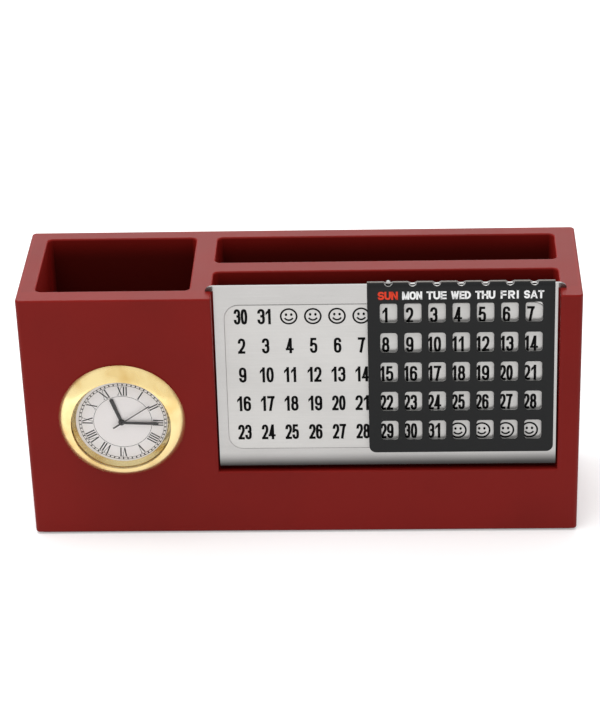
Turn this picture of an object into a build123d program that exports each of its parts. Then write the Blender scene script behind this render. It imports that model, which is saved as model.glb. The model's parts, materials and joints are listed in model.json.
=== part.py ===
from build123d import *
from math import cos, radians, sin
import os

# Desk organiser: a painted wooden block with a pen pocket and two long slots, a small
# clock let into its front, and a sliding calendar on a steel plate.
# Millimetres. X to the right, Y to the rear, Z up; the origin is under the block's centre.

os.makedirs("parts", exist_ok=True)

# ---- Driving dimensions -------------------------------------------------------------

# Wooden body
WIDTH = 200.0
DEPTH = 54.0
HEIGHT = 98.0  # top of the wood above the table
FELT_T = 0.8
FELT_INSET = 1.5
BASE_T = 9.0
LEFT_WALL = 6.4
RIGHT_WALL = 7.8
FRONT_WALL = 7.3
BACK_WALL = 5.8
PEN_POCKET_W = 54.95
DIVIDER_T = 7.85
SLOT_WALL_T = 7.5
REAR_SLOT_W = 19.8
LEDGE_Z = 26.6  # floor of the front slot and of the notch for the calendar
OUTER_R = 1.6  # upright outer corners
POCKET_R = 2.0  # upright inner corners
EDGE_R = 0.6  # sanded edges
COVE_SHARE = 0.8  # how far along an inner corner's round its board reaches

# Countersunk screws up through the base
SCREW_R = 1.5
SCREW_HEAD_R = 3.0
SCREW_LENGTH = 30.0
SCREW_HEAD_H = 1.7
SCREW_INSET = 13.0  # from the block's front and back faces
SCREW_RECESS_W = 0.9
SCREW_RECESS_DEPTH = 1.0
SCREW_FIT = 0.03

# Calendar plate, one bent steel sheet
PLATE_T = 0.8
PLATE_LEAN = 4.8  # degrees back from upright
PLATE_BEND_R = 4.0  # outside of the bottom bend
PLATE_SIDE_GAP = 0.65
PLATE_SETBACK = 0.3  # the bend stands this far behind the block's front face
PLATE_RISE = 2.0  # above the wood
LEAF_LENGTH = 12.5  # flat leaf on the slot's floor
EAR_REACH = 2.9  # ears that lap over the wood at both top corners
EAR_CLEAR = 0.05
TOOTH_W = 1.9
TOOTH_H = 1.3
TOOTH_OFFSET = 1.1  # from the plate's middle

# Pan head screws through the leaf
LEAF_SCREW_R = 1.3
LEAF_SCREW_HEAD_R = 2.4
LEAF_SCREW_HEAD_H = 1.2
LEAF_SCREW_LENGTH = 9.0
LEAF_SCREW_SPACING = 45.0
LEAF_SCREW_SLOT_W = 0.6
LEAF_SCREW_INSET = 4.7  # from the leaf's rear edge

# Clear film with the dates, stuck on the plate
FILM_T = 0.15
FILM_SIDE = 3.5  # bare steel beside the film
FILM_TOP = 7.3  # bare steel above it, down the slope
FILM_BOTTOM = 5.2  # bare steel below it, down to the bend
FILM_R = 5.2
DATE_COLUMNS = 13
DATE_MARGIN = 5.99  # from the film's side to the first column of dates

# Day slider, a folded black sheet that clips over the plate
COLUMNS = 7
ROWS = 5
SLIDER_T = 0.6
SLIDER_GAP = 1.1  # air between plate and slider in front
SLIDER_BACK_GAP = 0.5  # the same behind the plate, at the fold
SLIDER_BOTTOM = 4.0  # from the slider's bottom edge down to the plate's bend
SLIDER_LEFT_MARGIN = 7.5  # from the first window column's middle
SLIDER_RIGHT_MARGIN = 7.3
SLIDER_CORNER_R = 2.5
WINDOW_BAR_W = 2.41  # slider left between two windows side by side
WINDOW_BAR_H = 3.9  # and between two rows of them
WINDOW_R = 1.2
FIRST_ROW_DROP = 10.35  # from the plate's top edge to the first row's middle
LAST_ROW_RISE = 8.83  # from the slider's bottom edge to the last row's middle
FOLD_DROP = 0.8  # from the plate's top edge down to the fold's centre
LIP_LENGTH = 6.2
LIP_CLEAR = 0.05
NOTCH_W = 3.4
NOTCH_BOTTOM = 0.2  # below the plate's top edge

# Clock insert. Depths are counted rearwards from the block's front face.
CLOCK_UP = 49.0
CLOCK_OFFSET = 1.2  # from the middle of the pen pocket, to the right
BEZEL_R = 22.9
BEZEL_PROUD = 4.3  # at the bezel's inner edge
BEZEL_CROWN = 3.1  # halfway across its face
BEZEL_EDGE = 0.4  # at its outer edge
BEZEL_LIP = 0.5
SIGHT_R = 18.1
DIAL_SIGHT_R = 16.6  # the spacer ring narrows to this at the dial
LENS_T = 1.0
LENS_LAP = 0.4  # how far the bezel's lip laps over the lens
LENS_CLEAR = 0.05
CLOCK_HOLE_R = 20.0
CASE_WALL = 0.6
CASE_RIM_DEPTH = 1.1
CASE_BACK_T = 1.0
DIAL_CLEAR = 0.1
DIAL_T = 0.4
SPACER_T = 1.7
SPACER_STEP = 0.2  # the spacer ring shows this far inside the bezel's inner edge
GRIP_CLEAR = 0.02
GRIP_RIB_H = 0.38
GRIP_RIB_W = 0.8
GRIP_RIB_PITCH = 2.0
GRIP_RIBS = 3

# Movement
MOVEMENT_CLEAR = 0.7  # between the movement's plates and the case
MOVEMENT_PLATE_T = 1.0
BACK_CLEAR = 0.6  # from the back plate to the case's back
FIT = 0.05  # running clearance on the radius
HOUR_PIPE_R = 0.85
CANNON_PIPE_R = 0.55
SECOND_ARBOR_R = 0.25
MINUTE_ARBOR_R = 0.5
THIRD_ARBOR_R = 0.35
STEP_ARBOR_R = 0.3
ROTOR_ARBOR_R = 0.25
PIVOT_END = 0.2  # an arbor stops this far short of a plate's outer face
PILLAR_R = 1.2
PILLAR_CIRCLE_R = 16.0
PILLAR_ANGLES = (75.0, 190.0, 315.0)
PILLAR_SCREW_R = 0.6
PILLAR_SCREW_HEAD_R = 1.1
PILLAR_SCREW_HEAD_H = 0.4
PILLAR_SCREW_LENGTH = 3.0
BOSS_R = 1.2
BOSS_CIRCLE_R = 14.0
BOSS_ANGLES = (20.0, 110.0, 290.0)

# Gear trains. The axes are given by their distances and directions, and the modules follow.
CANNON_TEETH = 12
MINUTE_TEETH = 36
MINUTE_PINION_TEETH = 10
HOUR_TEETH = 40
SECOND_PINION_TEETH = 8
THIRD_TEETH = 60
THIRD_PINION_TEETH = 8
CENTRE_TEETH = 64
STEP_PINION_TEETH = 10
SECOND_TEETH = 50
ROTOR_PINION_TEETH = 10
STEP_TEETH = 60
MINUTE_AXIS_REACH = 6.0  # from the hands' axis
THIRD_AXIS_REACH = 5.78
STEP_AXIS_REACH = 6.0
ROTOR_AXIS_REACH = 4.9  # from the step wheel's axis
MINUTE_AXIS_ANGLE = -90.0
THIRD_AXIS_ANGLE = 135.0
STEP_AXIS_ANGLE = 60.0
ROTOR_AXIS_ANGLE = 20.0  # seen from the step wheel
TIP_SHARE = 0.85  # tooth tip above the pitch circle, in modules
ROOT_SHARE = 1.1
TOOTH_ROOT_SHARE = 0.29  # half a tooth's width at its root, of one tooth spacing
TOOTH_TIP_SHARE = 0.10

# Thicknesses of the wheels, and the gaps between the levels that they turn in
HOUR_T = 0.55
MINUTE_T = 0.60
CENTRE_T = 0.50
THIRD_T = 0.50
SECOND_T = 0.50
STEP_T = 0.45
FIRST_LEVEL = 0.15  # from the front plate to the hour wheel
LEVEL_GAP = 0.20
PINION_OVERRUN = 0.05  # a pinion is this much longer than its wheel at both ends
END_SHAKE = 0.15

# Rotor, stator, coil and the rest of the electric side
MAGNET_R = 1.4
MAGNET_LEVEL = 2.2
MAGNET_T = 1.7
STATOR_LEVEL = 2.9
STATOR_T = 0.7
STATOR_HOLE_R = 1.9
STATOR_RING_R = 3.2
STATOR_LEG_W = 1.9
COIL_X = 13.0
COIL_BOTTOM = -5.5
COIL_TOP = 6.5
COIL_R = 2.1
COIL_LEVEL = 2.4
CORE_W = 1.6
CORE_T = 0.9
CORE_OVERHANG = 3.0
CELL_R = 5.8
CELL_T = 3.05
CELL_LEVEL = 1.9
CELL_OFFSET = 8.2
CELL_POST_R = 3.0
CONTACT_T = 0.2
CONTACT_INNER_R = 1.0
CONTACT_OUTER_R = 4.5
HATCH_R = 6.6
HATCH_SEAT_R = 6.2
HATCH_FLANGE_T = 0.6
HATCH_CLEAR = 0.1
COIN_SLOT_W = 1.2
COIN_SLOT_LENGTH = 8.0
COIN_SLOT_DEPTH = 0.35
BOARD_W = 8.0
BOARD_H = 5.0
BOARD_T = 0.8
BOARD_X = 4.5
BOARD_Y = -12.0
CHIP_R = 1.6
CHIP_H = 0.5
CRYSTAL_R = 0.75
CRYSTAL_LENGTH = 5.0
CRYSTAL_X = -2.2
CRYSTAL_Y = -15.0
KNOB_R = 3.5
KNOB_T = 2.6
KNOB_CLEAR = 0.2
KNOB_BORE_DEPTH = 1.6
KNOB_RIBS = 18
KNOB_RIB_R = 0.35

# Hands: length, widths at hub and tip, thickness, front face above the dial, angle from
# twelve, and the wall of the hub round its bore
HOUR_HAND = dict(
    length=10.3, hub_w=1.15, tip_w=1.45, thick=0.15, rise=0.45, angle=-19.0, hub_wall=0.35
)
MINUTE_HAND = dict(
    length=13.4, hub_w=0.95, tip_w=1.2, thick=0.15, rise=0.9, angle=92.0, hub_wall=0.5
)
SECOND_HAND = dict(
    length=12.7, hub_w=0.36, tip_w=0.36, thick=0.1, rise=1.3, angle=56.0, hub_wall=0.4
)
SECOND_TAIL = 3.8
SECOND_TAIL_W = 0.55

# ---- Derived places -----------------------------------------------------------------

FRONT_Y = -DEPTH / 2
BACK_Y = DEPTH / 2
FLOOR_Z = FELT_T + BASE_T
FRONT_IN = FRONT_Y + FRONT_WALL
BACK_IN = BACK_Y - BACK_WALL
POCKET_X0 = -WIDTH / 2 + LEFT_WALL
POCKET_X1 = POCKET_X0 + PEN_POCKET_W
SLOT_X0 = POCKET_X1 + DIVIDER_T
SLOT_X1 = WIDTH / 2 - RIGHT_WALL
SLOT_WALL_Y1 = BACK_IN - REAR_SLOT_W
SLOT_WALL_Y0 = SLOT_WALL_Y1 - SLOT_WALL_T
COVE = COVE_SHARE * POCKET_R

CALENDAR_X = (SLOT_X0 + SLOT_X1) / 2
PLATE_W = SLOT_X1 - SLOT_X0 - 2 * PLATE_SIDE_GAP
LEAN = radians(PLATE_LEAN)
BEND_Y = FRONT_Y + PLATE_SETBACK + PLATE_BEND_R
BEND_Z = LEDGE_Z + PLATE_BEND_R
PLATE_TOP_Z = HEIGHT + PLATE_RISE
SLOPE = (PLATE_TOP_Z - BEND_Z - PLATE_BEND_R * sin(LEAN)) / cos(LEAN)
PLATE_TOP_Y = BEND_Y - PLATE_BEND_R * cos(LEAN) + SLOPE * sin(LEAN)
LEAF_SCREW_Y = BEND_Y + LEAF_LENGTH - LEAF_SCREW_INSET
EAR_H = (PLATE_RISE - EAR_CLEAR) / cos(LEAN) - PLATE_T * sin(LEAN)
EAR_END = PLATE_W / 2 + EAR_REACH
FILM_W = PLATE_W - 2 * FILM_SIDE
FILM_H = SLOPE - FILM_TOP - FILM_BOTTOM
COLUMN_PITCH = (FILM_W - 2 * DATE_MARGIN) / (DATE_COLUMNS - 1)
SLIDER_DROP = SLOPE - SLIDER_BOTTOM
ROW_PITCH = (SLIDER_DROP - FIRST_ROW_DROP - LAST_ROW_RISE) / (ROWS - 1)
WINDOW_W = COLUMN_PITCH - WINDOW_BAR_W
WINDOW_H = ROW_PITCH - WINDOW_BAR_H

CLOCK_X = (POCKET_X0 + POCKET_X1) / 2 + CLOCK_OFFSET
LENS_SEAT_R = SIGHT_R + LENS_LAP
LENS_R = LENS_SEAT_R - LENS_CLEAR
CASE_R = LENS_SEAT_R + CASE_WALL
DIAL_R = LENS_SEAT_R - DIAL_CLEAR
MOVEMENT_R = LENS_SEAT_R - MOVEMENT_CLEAR
LENS_DEPTH = BEZEL_LIP - BEZEL_PROUD
DIAL_DEPTH = LENS_DEPTH + LENS_T + SPACER_T
FRONT_PLATE_DEPTH = DIAL_DEPTH + DIAL_T
TRAIN_DEPTH = FRONT_PLATE_DEPTH + MOVEMENT_PLATE_T

# Levels of the train, counted rearwards from the front plate
HOUR_LEVEL = FIRST_LEVEL
CANNON_LEVEL = HOUR_LEVEL + HOUR_T + LEVEL_GAP
CANNON_T = MINUTE_T + 2 * PINION_OVERRUN
CENTRE_LEVEL = CANNON_LEVEL + CANNON_T + LEVEL_GAP
SECOND_PINION_LEVEL = CENTRE_LEVEL + CENTRE_T + LEVEL_GAP
SECOND_PINION_T = THIRD_T + 2 * PINION_OVERRUN
STEP_PINION_LEVEL = SECOND_PINION_LEVEL + SECOND_PINION_T + LEVEL_GAP
STEP_PINION_T = SECOND_T + 2 * PINION_OVERRUN
ROTOR_PINION_LEVEL = STEP_PINION_LEVEL + STEP_PINION_T + LEVEL_GAP
ROTOR_PINION_T = STEP_T + 2 * PINION_OVERRUN
TRAIN_SPACE = ROTOR_PINION_LEVEL + ROTOR_PINION_T + END_SHAKE
CANNON_MODULE = 2 * MINUTE_AXIS_REACH / (CANNON_TEETH + MINUTE_TEETH)
HOUR_MODULE = 2 * MINUTE_AXIS_REACH / (MINUTE_PINION_TEETH + HOUR_TEETH)
THIRD_MODULE = 2 * THIRD_AXIS_REACH / (SECOND_PINION_TEETH + THIRD_TEETH)
CENTRE_MODULE = 2 * THIRD_AXIS_REACH / (THIRD_PINION_TEETH + CENTRE_TEETH)
SECOND_MODULE = 2 * STEP_AXIS_REACH / (STEP_PINION_TEETH + SECOND_TEETH)
STEP_MODULE = 2 * ROTOR_AXIS_REACH / (ROTOR_PINION_TEETH + STEP_TEETH)

BACK_PLATE_DEPTH = TRAIN_DEPTH + TRAIN_SPACE
CASE_BACK_IN = BACK_PLATE_DEPTH + MOVEMENT_PLATE_T + BACK_CLEAR
CASE_DEPTH = CASE_BACK_IN + CASE_BACK_T


def calendar_plane(out=0.0):
    """Plane on the leaning plate's front face, X right and Y up the slope, at its top."""
    normal = (0, -cos(LEAN), sin(LEAN))
    top = Vector(CALENDAR_X, PLATE_TOP_Y, PLATE_TOP_Z)
    return Plane(origin=top + Vector(*normal) * out, x_dir=(1, 0, 0), z_dir=normal)


def clock_plane(depth):
    """Plane parallel to the dial, seen from the front, this far behind the wood's face."""
    return Plane(origin=(CLOCK_X, FRONT_Y + depth, CLOCK_UP), x_dir=(1, 0, 0), z_dir=(0, -1, 0))


def train_plane(level):
    """The same plane, counted from the front plate's rear face."""
    return clock_plane(TRAIN_DEPTH + level)


def polar(radius, angle):
    return (radius * cos(radians(angle)), radius * sin(radians(angle)))


def disc(depth, thickness, radius, at=(0, 0), hole=0.0, mode=Mode.ADD):
    """Disc or ring parallel to the dial, from this depth rearwards."""
    with BuildSketch(clock_plane(depth)) as face:
        with Locations(at):
            Circle(radius)
            if hole:
                Circle(hole, mode=Mode.SUBTRACT)
    extrude(face.sketch, amount=-thickness, mode=mode)


def gear_points(module, teeth, towards, gap):
    """Corners of a toothed disc with a tooth, or a gap, pointing towards an angle."""
    spacing = 360 / teeth
    pitch_r = module * teeth / 2
    root_r = pitch_r - ROOT_SHARE * module
    tip_r = pitch_r + TIP_SHARE * module
    first = towards + (spacing / 2 if gap else 0)
    points = []
    for tooth in range(teeth):
        middle = first + tooth * spacing
        points.append(polar(root_r, middle - TOOTH_ROOT_SHARE * spacing))
        points.append(polar(tip_r, middle - TOOTH_TIP_SHARE * spacing))
        points.append(polar(tip_r, middle + TOOTH_TIP_SHARE * spacing))
        points.append(polar(root_r, middle + TOOTH_ROOT_SHARE * spacing))
    return points


def gear(level, thickness, module, teeth, at, towards, gap=False, bore=0.0):
    """Toothed disc of the train at a level, its tooth or gap towards its partner."""
    with BuildSketch(train_plane(level)) as face:
        with Locations(at):
            Polygon(*gear_points(module, teeth, towards, gap), align=None)
            if bore:
                Circle(bore, mode=Mode.SUBTRACT)
    extrude(face.sketch, amount=-thickness)


def pinion(level, wheel_t, module, teeth, at, towards):
    """Pinion that drives a wheel at a level, a little longer than the wheel at each end."""
    gear(level - PINION_OVERRUN, wheel_t + 2 * PINION_OVERRUN, module, teeth, at, towards)


def box_between(low, high, mode=Mode.ADD):
    """Box from its lowest to its highest corner."""
    size = [b - a for a, b in zip(low, high)]
    with Locations(tuple((a + b) / 2 for a, b in zip(low, high))):
        Box(*size, mode=mode)


def finish(builder, name):
    builder.part.label = name
    export_step(builder.part, f"parts/{name}.step")


# ---- Wooden body --------------------------------------------------------------------
# The boards are glued, sanded and painted as one block, so the block is shaped first
# and each board is then the part of it that lies in the board's own place.

SCREW_PLACES = [
    (x, y)
    for x in (
        -WIDTH / 2 + LEFT_WALL / 2,
        (POCKET_X1 + SLOT_X0) / 2,
        WIDTH / 2 - RIGHT_WALL / 2,
    )
    for y in (FRONT_Y + SCREW_INSET, BACK_Y - SCREW_INSET)
]
LEAF_SCREW_PLACES = [
    (CALENDAR_X + side * LEAF_SCREW_SPACING, LEAF_SCREW_Y) for side in (-1, 0, 1)
]

with BuildPart() as block:
    with BuildSketch(Plane.XY.offset(FELT_T)):
        RectangleRounded(WIDTH, DEPTH, OUTER_R)
    extrude(amount=HEIGHT - FELT_T)
    # Pen pocket and rear slot
    with BuildSketch(Plane.XY.offset(HEIGHT)):
        for x0, x1, y0, y1 in (
            (POCKET_X0, POCKET_X1, FRONT_IN, BACK_IN),
            (SLOT_X0, SLOT_X1, SLOT_WALL_Y1, BACK_IN),
        ):
            with Locations(((x0 + x1) / 2, (y0 + y1) / 2)):
                RectangleRounded(x1 - x0, y1 - y0, POCKET_R)
    extrude(amount=FLOOR_Z - HEIGHT, mode=Mode.SUBTRACT)
    # Front slot, open through the front wall where the calendar plate closes it
    with BuildSketch(Plane.XY.offset(HEIGHT)):
        with Locations((CALENDAR_X, (FRONT_Y - DEPTH + SLOT_WALL_Y0) / 2)):
            RectangleRounded(SLOT_X1 - SLOT_X0, SLOT_WALL_Y0 - FRONT_Y + DEPTH, POCKET_R)
    extrude(amount=LEDGE_Z - HEIGHT, mode=Mode.SUBTRACT)
    rims = block.faces().sort_by(Axis.Z)[-1].edges()
    feet = block.faces().sort_by(Axis.Z)[0].edges()
    notch_sides = (
        block.edges().filter_by(Axis.Z).filter_by(lambda e: abs(e.center().Y - FRONT_Y) < 1e-3)
    )
    ledge = block.edges().filter_by(Axis.X).filter_by(
        lambda e: abs(e.center().Y - FRONT_Y) + abs(e.center().Z - LEDGE_Z) < 1e-3
    )
    fillet(rims + feet + notch_sides + ledge, EDGE_R)
    # Hole for the clock
    with BuildSketch(clock_plane(0)):
        Circle(CLOCK_HOLE_R)
    extrude(amount=-FRONT_WALL, mode=Mode.SUBTRACT)
    # Holes for the screws from below and for those of the calendar's leaf
    with BuildSketch(Plane.XY.offset(FELT_T)):
        with Locations(*SCREW_PLACES):
            Circle(SCREW_R + SCREW_FIT)
    extrude(amount=SCREW_LENGTH, mode=Mode.SUBTRACT)
    for place in SCREW_PLACES:
        with Locations((*place, FELT_T + SCREW_HEAD_H / 2)):
            Cone(
                SCREW_HEAD_R + SCREW_FIT,
                SCREW_R + SCREW_FIT,
                SCREW_HEAD_H,
                mode=Mode.SUBTRACT,
            )
    with BuildSketch(Plane.XY.offset(LEDGE_Z)):
        with Locations(*LEAF_SCREW_PLACES):
            Circle(LEAF_SCREW_R + SCREW_FIT)
    extrude(amount=-LEAF_SCREW_LENGTH, mode=Mode.SUBTRACT)

HALF_W = WIDTH / 2
BOARDS = {
    "base_board": ((-HALF_W, FRONT_Y, 0), (HALF_W, BACK_Y, FLOOR_Z)),
    "front_board": ((-HALF_W, FRONT_Y, FLOOR_Z), (HALF_W, FRONT_IN, HEIGHT)),
    "back_board": ((-HALF_W, BACK_IN, FLOOR_Z), (HALF_W, BACK_Y, HEIGHT)),
    "left_end_board": ((-HALF_W, FRONT_IN, FLOOR_Z), (POCKET_X0 + COVE, BACK_IN, HEIGHT)),
    "right_end_board": ((SLOT_X1 - COVE, FRONT_IN, FLOOR_Z), (HALF_W, BACK_IN, HEIGHT)),
    "pen_divider": (
        (POCKET_X1 - COVE, FRONT_IN, FLOOR_Z),
        (SLOT_X0 + COVE, BACK_IN, HEIGHT),
    ),
    "slot_wall": (
        (SLOT_X0 + COVE, SLOT_WALL_Y0, FLOOR_Z),
        (SLOT_X1 - COVE, SLOT_WALL_Y1, HEIGHT),
    ),
    "slot_floor": (
        (SLOT_X0 + COVE, FRONT_IN, FLOOR_Z),
        (SLOT_X1 - COVE, SLOT_WALL_Y0, LEDGE_Z),
    ),
}
for board_name, (low, high) in BOARDS.items():
    with BuildPart() as board:
        add(block.part)
        box_between(low, high, mode=Mode.INTERSECT)
    finish(board, board_name)

with BuildPart() as base_felt:
    with BuildSketch(Plane.XY):
        RectangleRounded(WIDTH - 2 * FELT_INSET, DEPTH - 2 * FELT_INSET, OUTER_R)
    extrude(amount=FELT_T)
finish(base_felt, "base_felt")

with BuildPart() as base_screws:
    with BuildSketch(Plane.XY.offset(FELT_T)):
        with Locations(*SCREW_PLACES):
            Circle(SCREW_R)
    extrude(amount=SCREW_LENGTH - SCREW_HEAD_H)
    for place in SCREW_PLACES:
        with Locations((*place, FELT_T + SCREW_HEAD_H / 2)):
            Cone(SCREW_HEAD_R, SCREW_R, SCREW_HEAD_H)
        with Locations((*place, FELT_T + SCREW_LENGTH - SCREW_HEAD_H / 2)):
            Cone(SCREW_R, SCREW_R / 5, SCREW_HEAD_H)
    with BuildSketch(Plane.XY.offset(FELT_T)):
        with Locations(*SCREW_PLACES):
            Rectangle(SCREW_HEAD_R, SCREW_RECESS_W)
            Rectangle(SCREW_RECESS_W, SCREW_HEAD_R)
    extrude(amount=SCREW_RECESS_DEPTH, mode=Mode.SUBTRACT)
finish(base_screws, "base_screws")

# ---- Calendar -----------------------------------------------------------------------

with BuildPart() as calendar_plate:
    # Leaning face with its two ears and the index tooth
    with BuildSketch(calendar_plane()):
        with Locations((0, -SLOPE / 2)):
            Rectangle(PLATE_W, SLOPE)
        with BuildLine():
            Line((-EAR_END, -EAR_H), (EAR_END, -EAR_H))
            EllipticalCenterArc((PLATE_W / 2, -EAR_H), EAR_REACH, EAR_H, 0, arc_size=90)
            Line((PLATE_W / 2, 0), (-PLATE_W / 2, 0))
            EllipticalCenterArc((-PLATE_W / 2, -EAR_H), EAR_REACH, EAR_H, 90, arc_size=90)
        make_face()
        with Locations((TOOTH_OFFSET, (TOOTH_H - TOOTH_W / 2) / 2)):
            Rectangle(TOOTH_W, TOOTH_H - TOOTH_W / 2)
        with Locations((TOOTH_OFFSET, TOOTH_H - TOOTH_W / 2)):
            Circle(TOOTH_W / 2)
    extrude(amount=-PLATE_T)
    # Bend and leaf
    with BuildSketch(Plane.YZ.offset(CALENDAR_X)):
        with BuildLine():
            outer = CenterArc((BEND_Y, BEND_Z), PLATE_BEND_R, 180 - PLATE_LEAN, 90 + PLATE_LEAN)
            inner = CenterArc(
                (BEND_Y, BEND_Z), PLATE_BEND_R - PLATE_T, 180 - PLATE_LEAN, 90 + PLATE_LEAN
            )
            Line(outer @ 0, inner @ 0)
            Line(outer @ 1, inner @ 1)
        make_face()
    extrude(amount=PLATE_W / 2, both=True)
    box_between(
        (CALENDAR_X - PLATE_W / 2, BEND_Y, LEDGE_Z),
        (CALENDAR_X + PLATE_W / 2, BEND_Y + LEAF_LENGTH, LEDGE_Z + PLATE_T),
    )
    with BuildSketch(Plane.XY.offset(LEDGE_Z)):
        with Locations(*LEAF_SCREW_PLACES):
            Circle(LEAF_SCREW_R + SCREW_FIT)
    extrude(amount=PLATE_T, mode=Mode.SUBTRACT)
finish(calendar_plate, "calendar_plate")

with BuildPart() as date_film:
    with BuildSketch(calendar_plane()):
        with Locations((0, -FILM_TOP - FILM_H / 2)):
            RectangleRounded(FILM_W, FILM_H, FILM_R)
    extrude(amount=FILM_T)
finish(date_film, "date_film")

COLUMN_XS = [TOOTH_OFFSET + column * COLUMN_PITCH for column in range(COLUMNS)]
SLIDER_X0 = COLUMN_XS[0] - SLIDER_LEFT_MARGIN
SLIDER_X1 = COLUMN_XS[-1] + SLIDER_RIGHT_MARGIN
FOLD_IN_R = (SLIDER_GAP + PLATE_T + SLIDER_BACK_GAP) / 2
FOLD_R = FOLD_IN_R + SLIDER_T
FOLD_OUT = SLIDER_GAP - FOLD_IN_R  # the fold's centre, out from the plate's face

with BuildPart() as day_slider:
    with BuildSketch(calendar_plane(SLIDER_GAP)):
        with Locations(((SLIDER_X0 + SLIDER_X1) / 2, -(FOLD_DROP + SLIDER_DROP) / 2)):
            panel = Rectangle(SLIDER_X1 - SLIDER_X0, SLIDER_DROP - FOLD_DROP)
        fillet(panel.vertices().group_by(Axis.Y)[0], SLIDER_CORNER_R)
        for row in range(ROWS):
            with Locations(*[(x, -FIRST_ROW_DROP - row * ROW_PITCH) for x in COLUMN_XS]):
                RectangleRounded(WINDOW_W, WINDOW_H, WINDOW_R, mode=Mode.SUBTRACT)
    extrude(amount=SLIDER_T)
    # Fold over the plate's top edge and springy lip behind it
    side = Plane(
        origin=calendar_plane(FOLD_OUT).from_local_coords((SLIDER_X1, -FOLD_DROP, 0)),
        x_dir=calendar_plane().z_dir,
        z_dir=(-1, 0, 0),
    )
    lip_in = -PLATE_T - LIP_CLEAR - FOLD_OUT
    with BuildSketch(side):
        with BuildLine():
            over = CenterArc((0, 0), FOLD_R, 0, 180)
            under = CenterArc((0, 0), FOLD_IN_R, 0, 180)
            Line(over @ 0, under @ 0)
            Polyline(
                over @ 1, (lip_in - SLIDER_T, -LIP_LENGTH), (lip_in, -LIP_LENGTH), under @ 1
            )
        make_face()
    extrude(amount=SLIDER_X1 - SLIDER_X0)
    # One notch for each column, so that the slider drops on the tooth in seven places
    with BuildSketch(calendar_plane(SLIDER_GAP + SLIDER_T)):
        notch_middle = NOTCH_W / 2 - NOTCH_BOTTOM
        with Locations(*[(x, notch_middle) for x in COLUMN_XS]):
            Circle(NOTCH_W / 2)
        with Locations(*[(x, notch_middle + FOLD_R) for x in COLUMN_XS]):
            Rectangle(NOTCH_W, 2 * FOLD_R)
    extrude(amount=-2 * FOLD_R - SLIDER_T, mode=Mode.SUBTRACT)
finish(day_slider, "day_slider")

with BuildPart() as plate_screws:
    with BuildSketch(Plane.XY.offset(LEDGE_Z + PLATE_T)):
        with Locations(*LEAF_SCREW_PLACES):
            Circle(LEAF_SCREW_HEAD_R)
    extrude(amount=LEAF_SCREW_HEAD_H)
    fillet(plate_screws.edges().group_by(Axis.Z)[-1], LEAF_SCREW_HEAD_H / 2)
    with BuildSketch(Plane.XY.offset(LEDGE_Z + PLATE_T)):
        with Locations(*LEAF_SCREW_PLACES):
            Circle(LEAF_SCREW_R)
    extrude(amount=-LEAF_SCREW_LENGTH)
    with BuildSketch(Plane.XY.offset(LEDGE_Z + PLATE_T + LEAF_SCREW_HEAD_H)):
        with Locations(*LEAF_SCREW_PLACES):
            Rectangle(2 * LEAF_SCREW_HEAD_R, LEAF_SCREW_SLOT_W)
    extrude(amount=-LEAF_SCREW_HEAD_H / 2, mode=Mode.SUBTRACT)
finish(plate_screws, "plate_screws")

# ---- Clock insert -------------------------------------------------------------------


def half_section(at=(0, 0)):
    """Half section through an axis of the clock: X is the radius and Y the depth."""
    origin = (CLOCK_X + at[0], FRONT_Y, CLOCK_UP + at[1])
    return Plane(origin=origin, x_dir=(1, 0, 0), z_dir=(0, 0, 1))


def clock_axis(at=(0, 0)):
    return Axis((CLOCK_X + at[0], FRONT_Y, CLOCK_UP + at[1]), (0, 1, 0))


with BuildPart() as clock_bezel:
    with BuildSketch(half_section()):
        with BuildLine():
            Polyline(
                (BEZEL_R, -BEZEL_EDGE),
                (BEZEL_R, 0),
                (CASE_R, 0),
                (CASE_R, CASE_RIM_DEPTH),
                (LENS_SEAT_R, CASE_RIM_DEPTH),
                (LENS_SEAT_R, LENS_DEPTH),
                (SIGHT_R, LENS_DEPTH),
                (SIGHT_R, -BEZEL_PROUD),
            )
            ThreePointArc(
                (SIGHT_R, -BEZEL_PROUD),
                ((SIGHT_R + BEZEL_R) / 2, -BEZEL_CROWN),
                (BEZEL_R, -BEZEL_EDGE),
            )
        make_face()
    revolve(axis=clock_axis())
finish(clock_bezel, "clock_bezel")

with BuildPart() as clock_lens:
    disc(LENS_DEPTH, LENS_T, LENS_R)
finish(clock_lens, "clock_lens")

with BuildPart() as spacer_ring:
    with BuildSketch(half_section()):
        Polygon(
            (LENS_R, LENS_DEPTH + LENS_T),
            (LENS_R, DIAL_DEPTH),
            (DIAL_SIGHT_R, DIAL_DEPTH),
            (SIGHT_R - SPACER_STEP, LENS_DEPTH + LENS_T),
            align=None,
        )
    revolve(axis=clock_axis())
finish(spacer_ring, "spacer_ring")

with BuildPart() as clock_dial:
    disc(DIAL_DEPTH, DIAL_T, DIAL_R, hole=HOUR_PIPE_R + FIT)
finish(clock_dial, "clock_dial")

with BuildPart() as grip_ring:
    band_depth = CASE_RIM_DEPTH + GRIP_RIB_W / 2
    band_length = GRIP_RIBS * GRIP_RIB_PITCH
    rib_r = CLOCK_HOLE_R - GRIP_CLEAR
    disc(band_depth, band_length, rib_r - GRIP_RIB_H, hole=CASE_R)
    for rib in range(GRIP_RIBS):
        rib_depth = band_depth + (rib + 0.5) * GRIP_RIB_PITCH - GRIP_RIB_W / 2
        disc(rib_depth, GRIP_RIB_W, rib_r, hole=CASE_R)
finish(grip_ring, "grip_ring")

# ---- Axes of the train --------------------------------------------------------------

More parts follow.
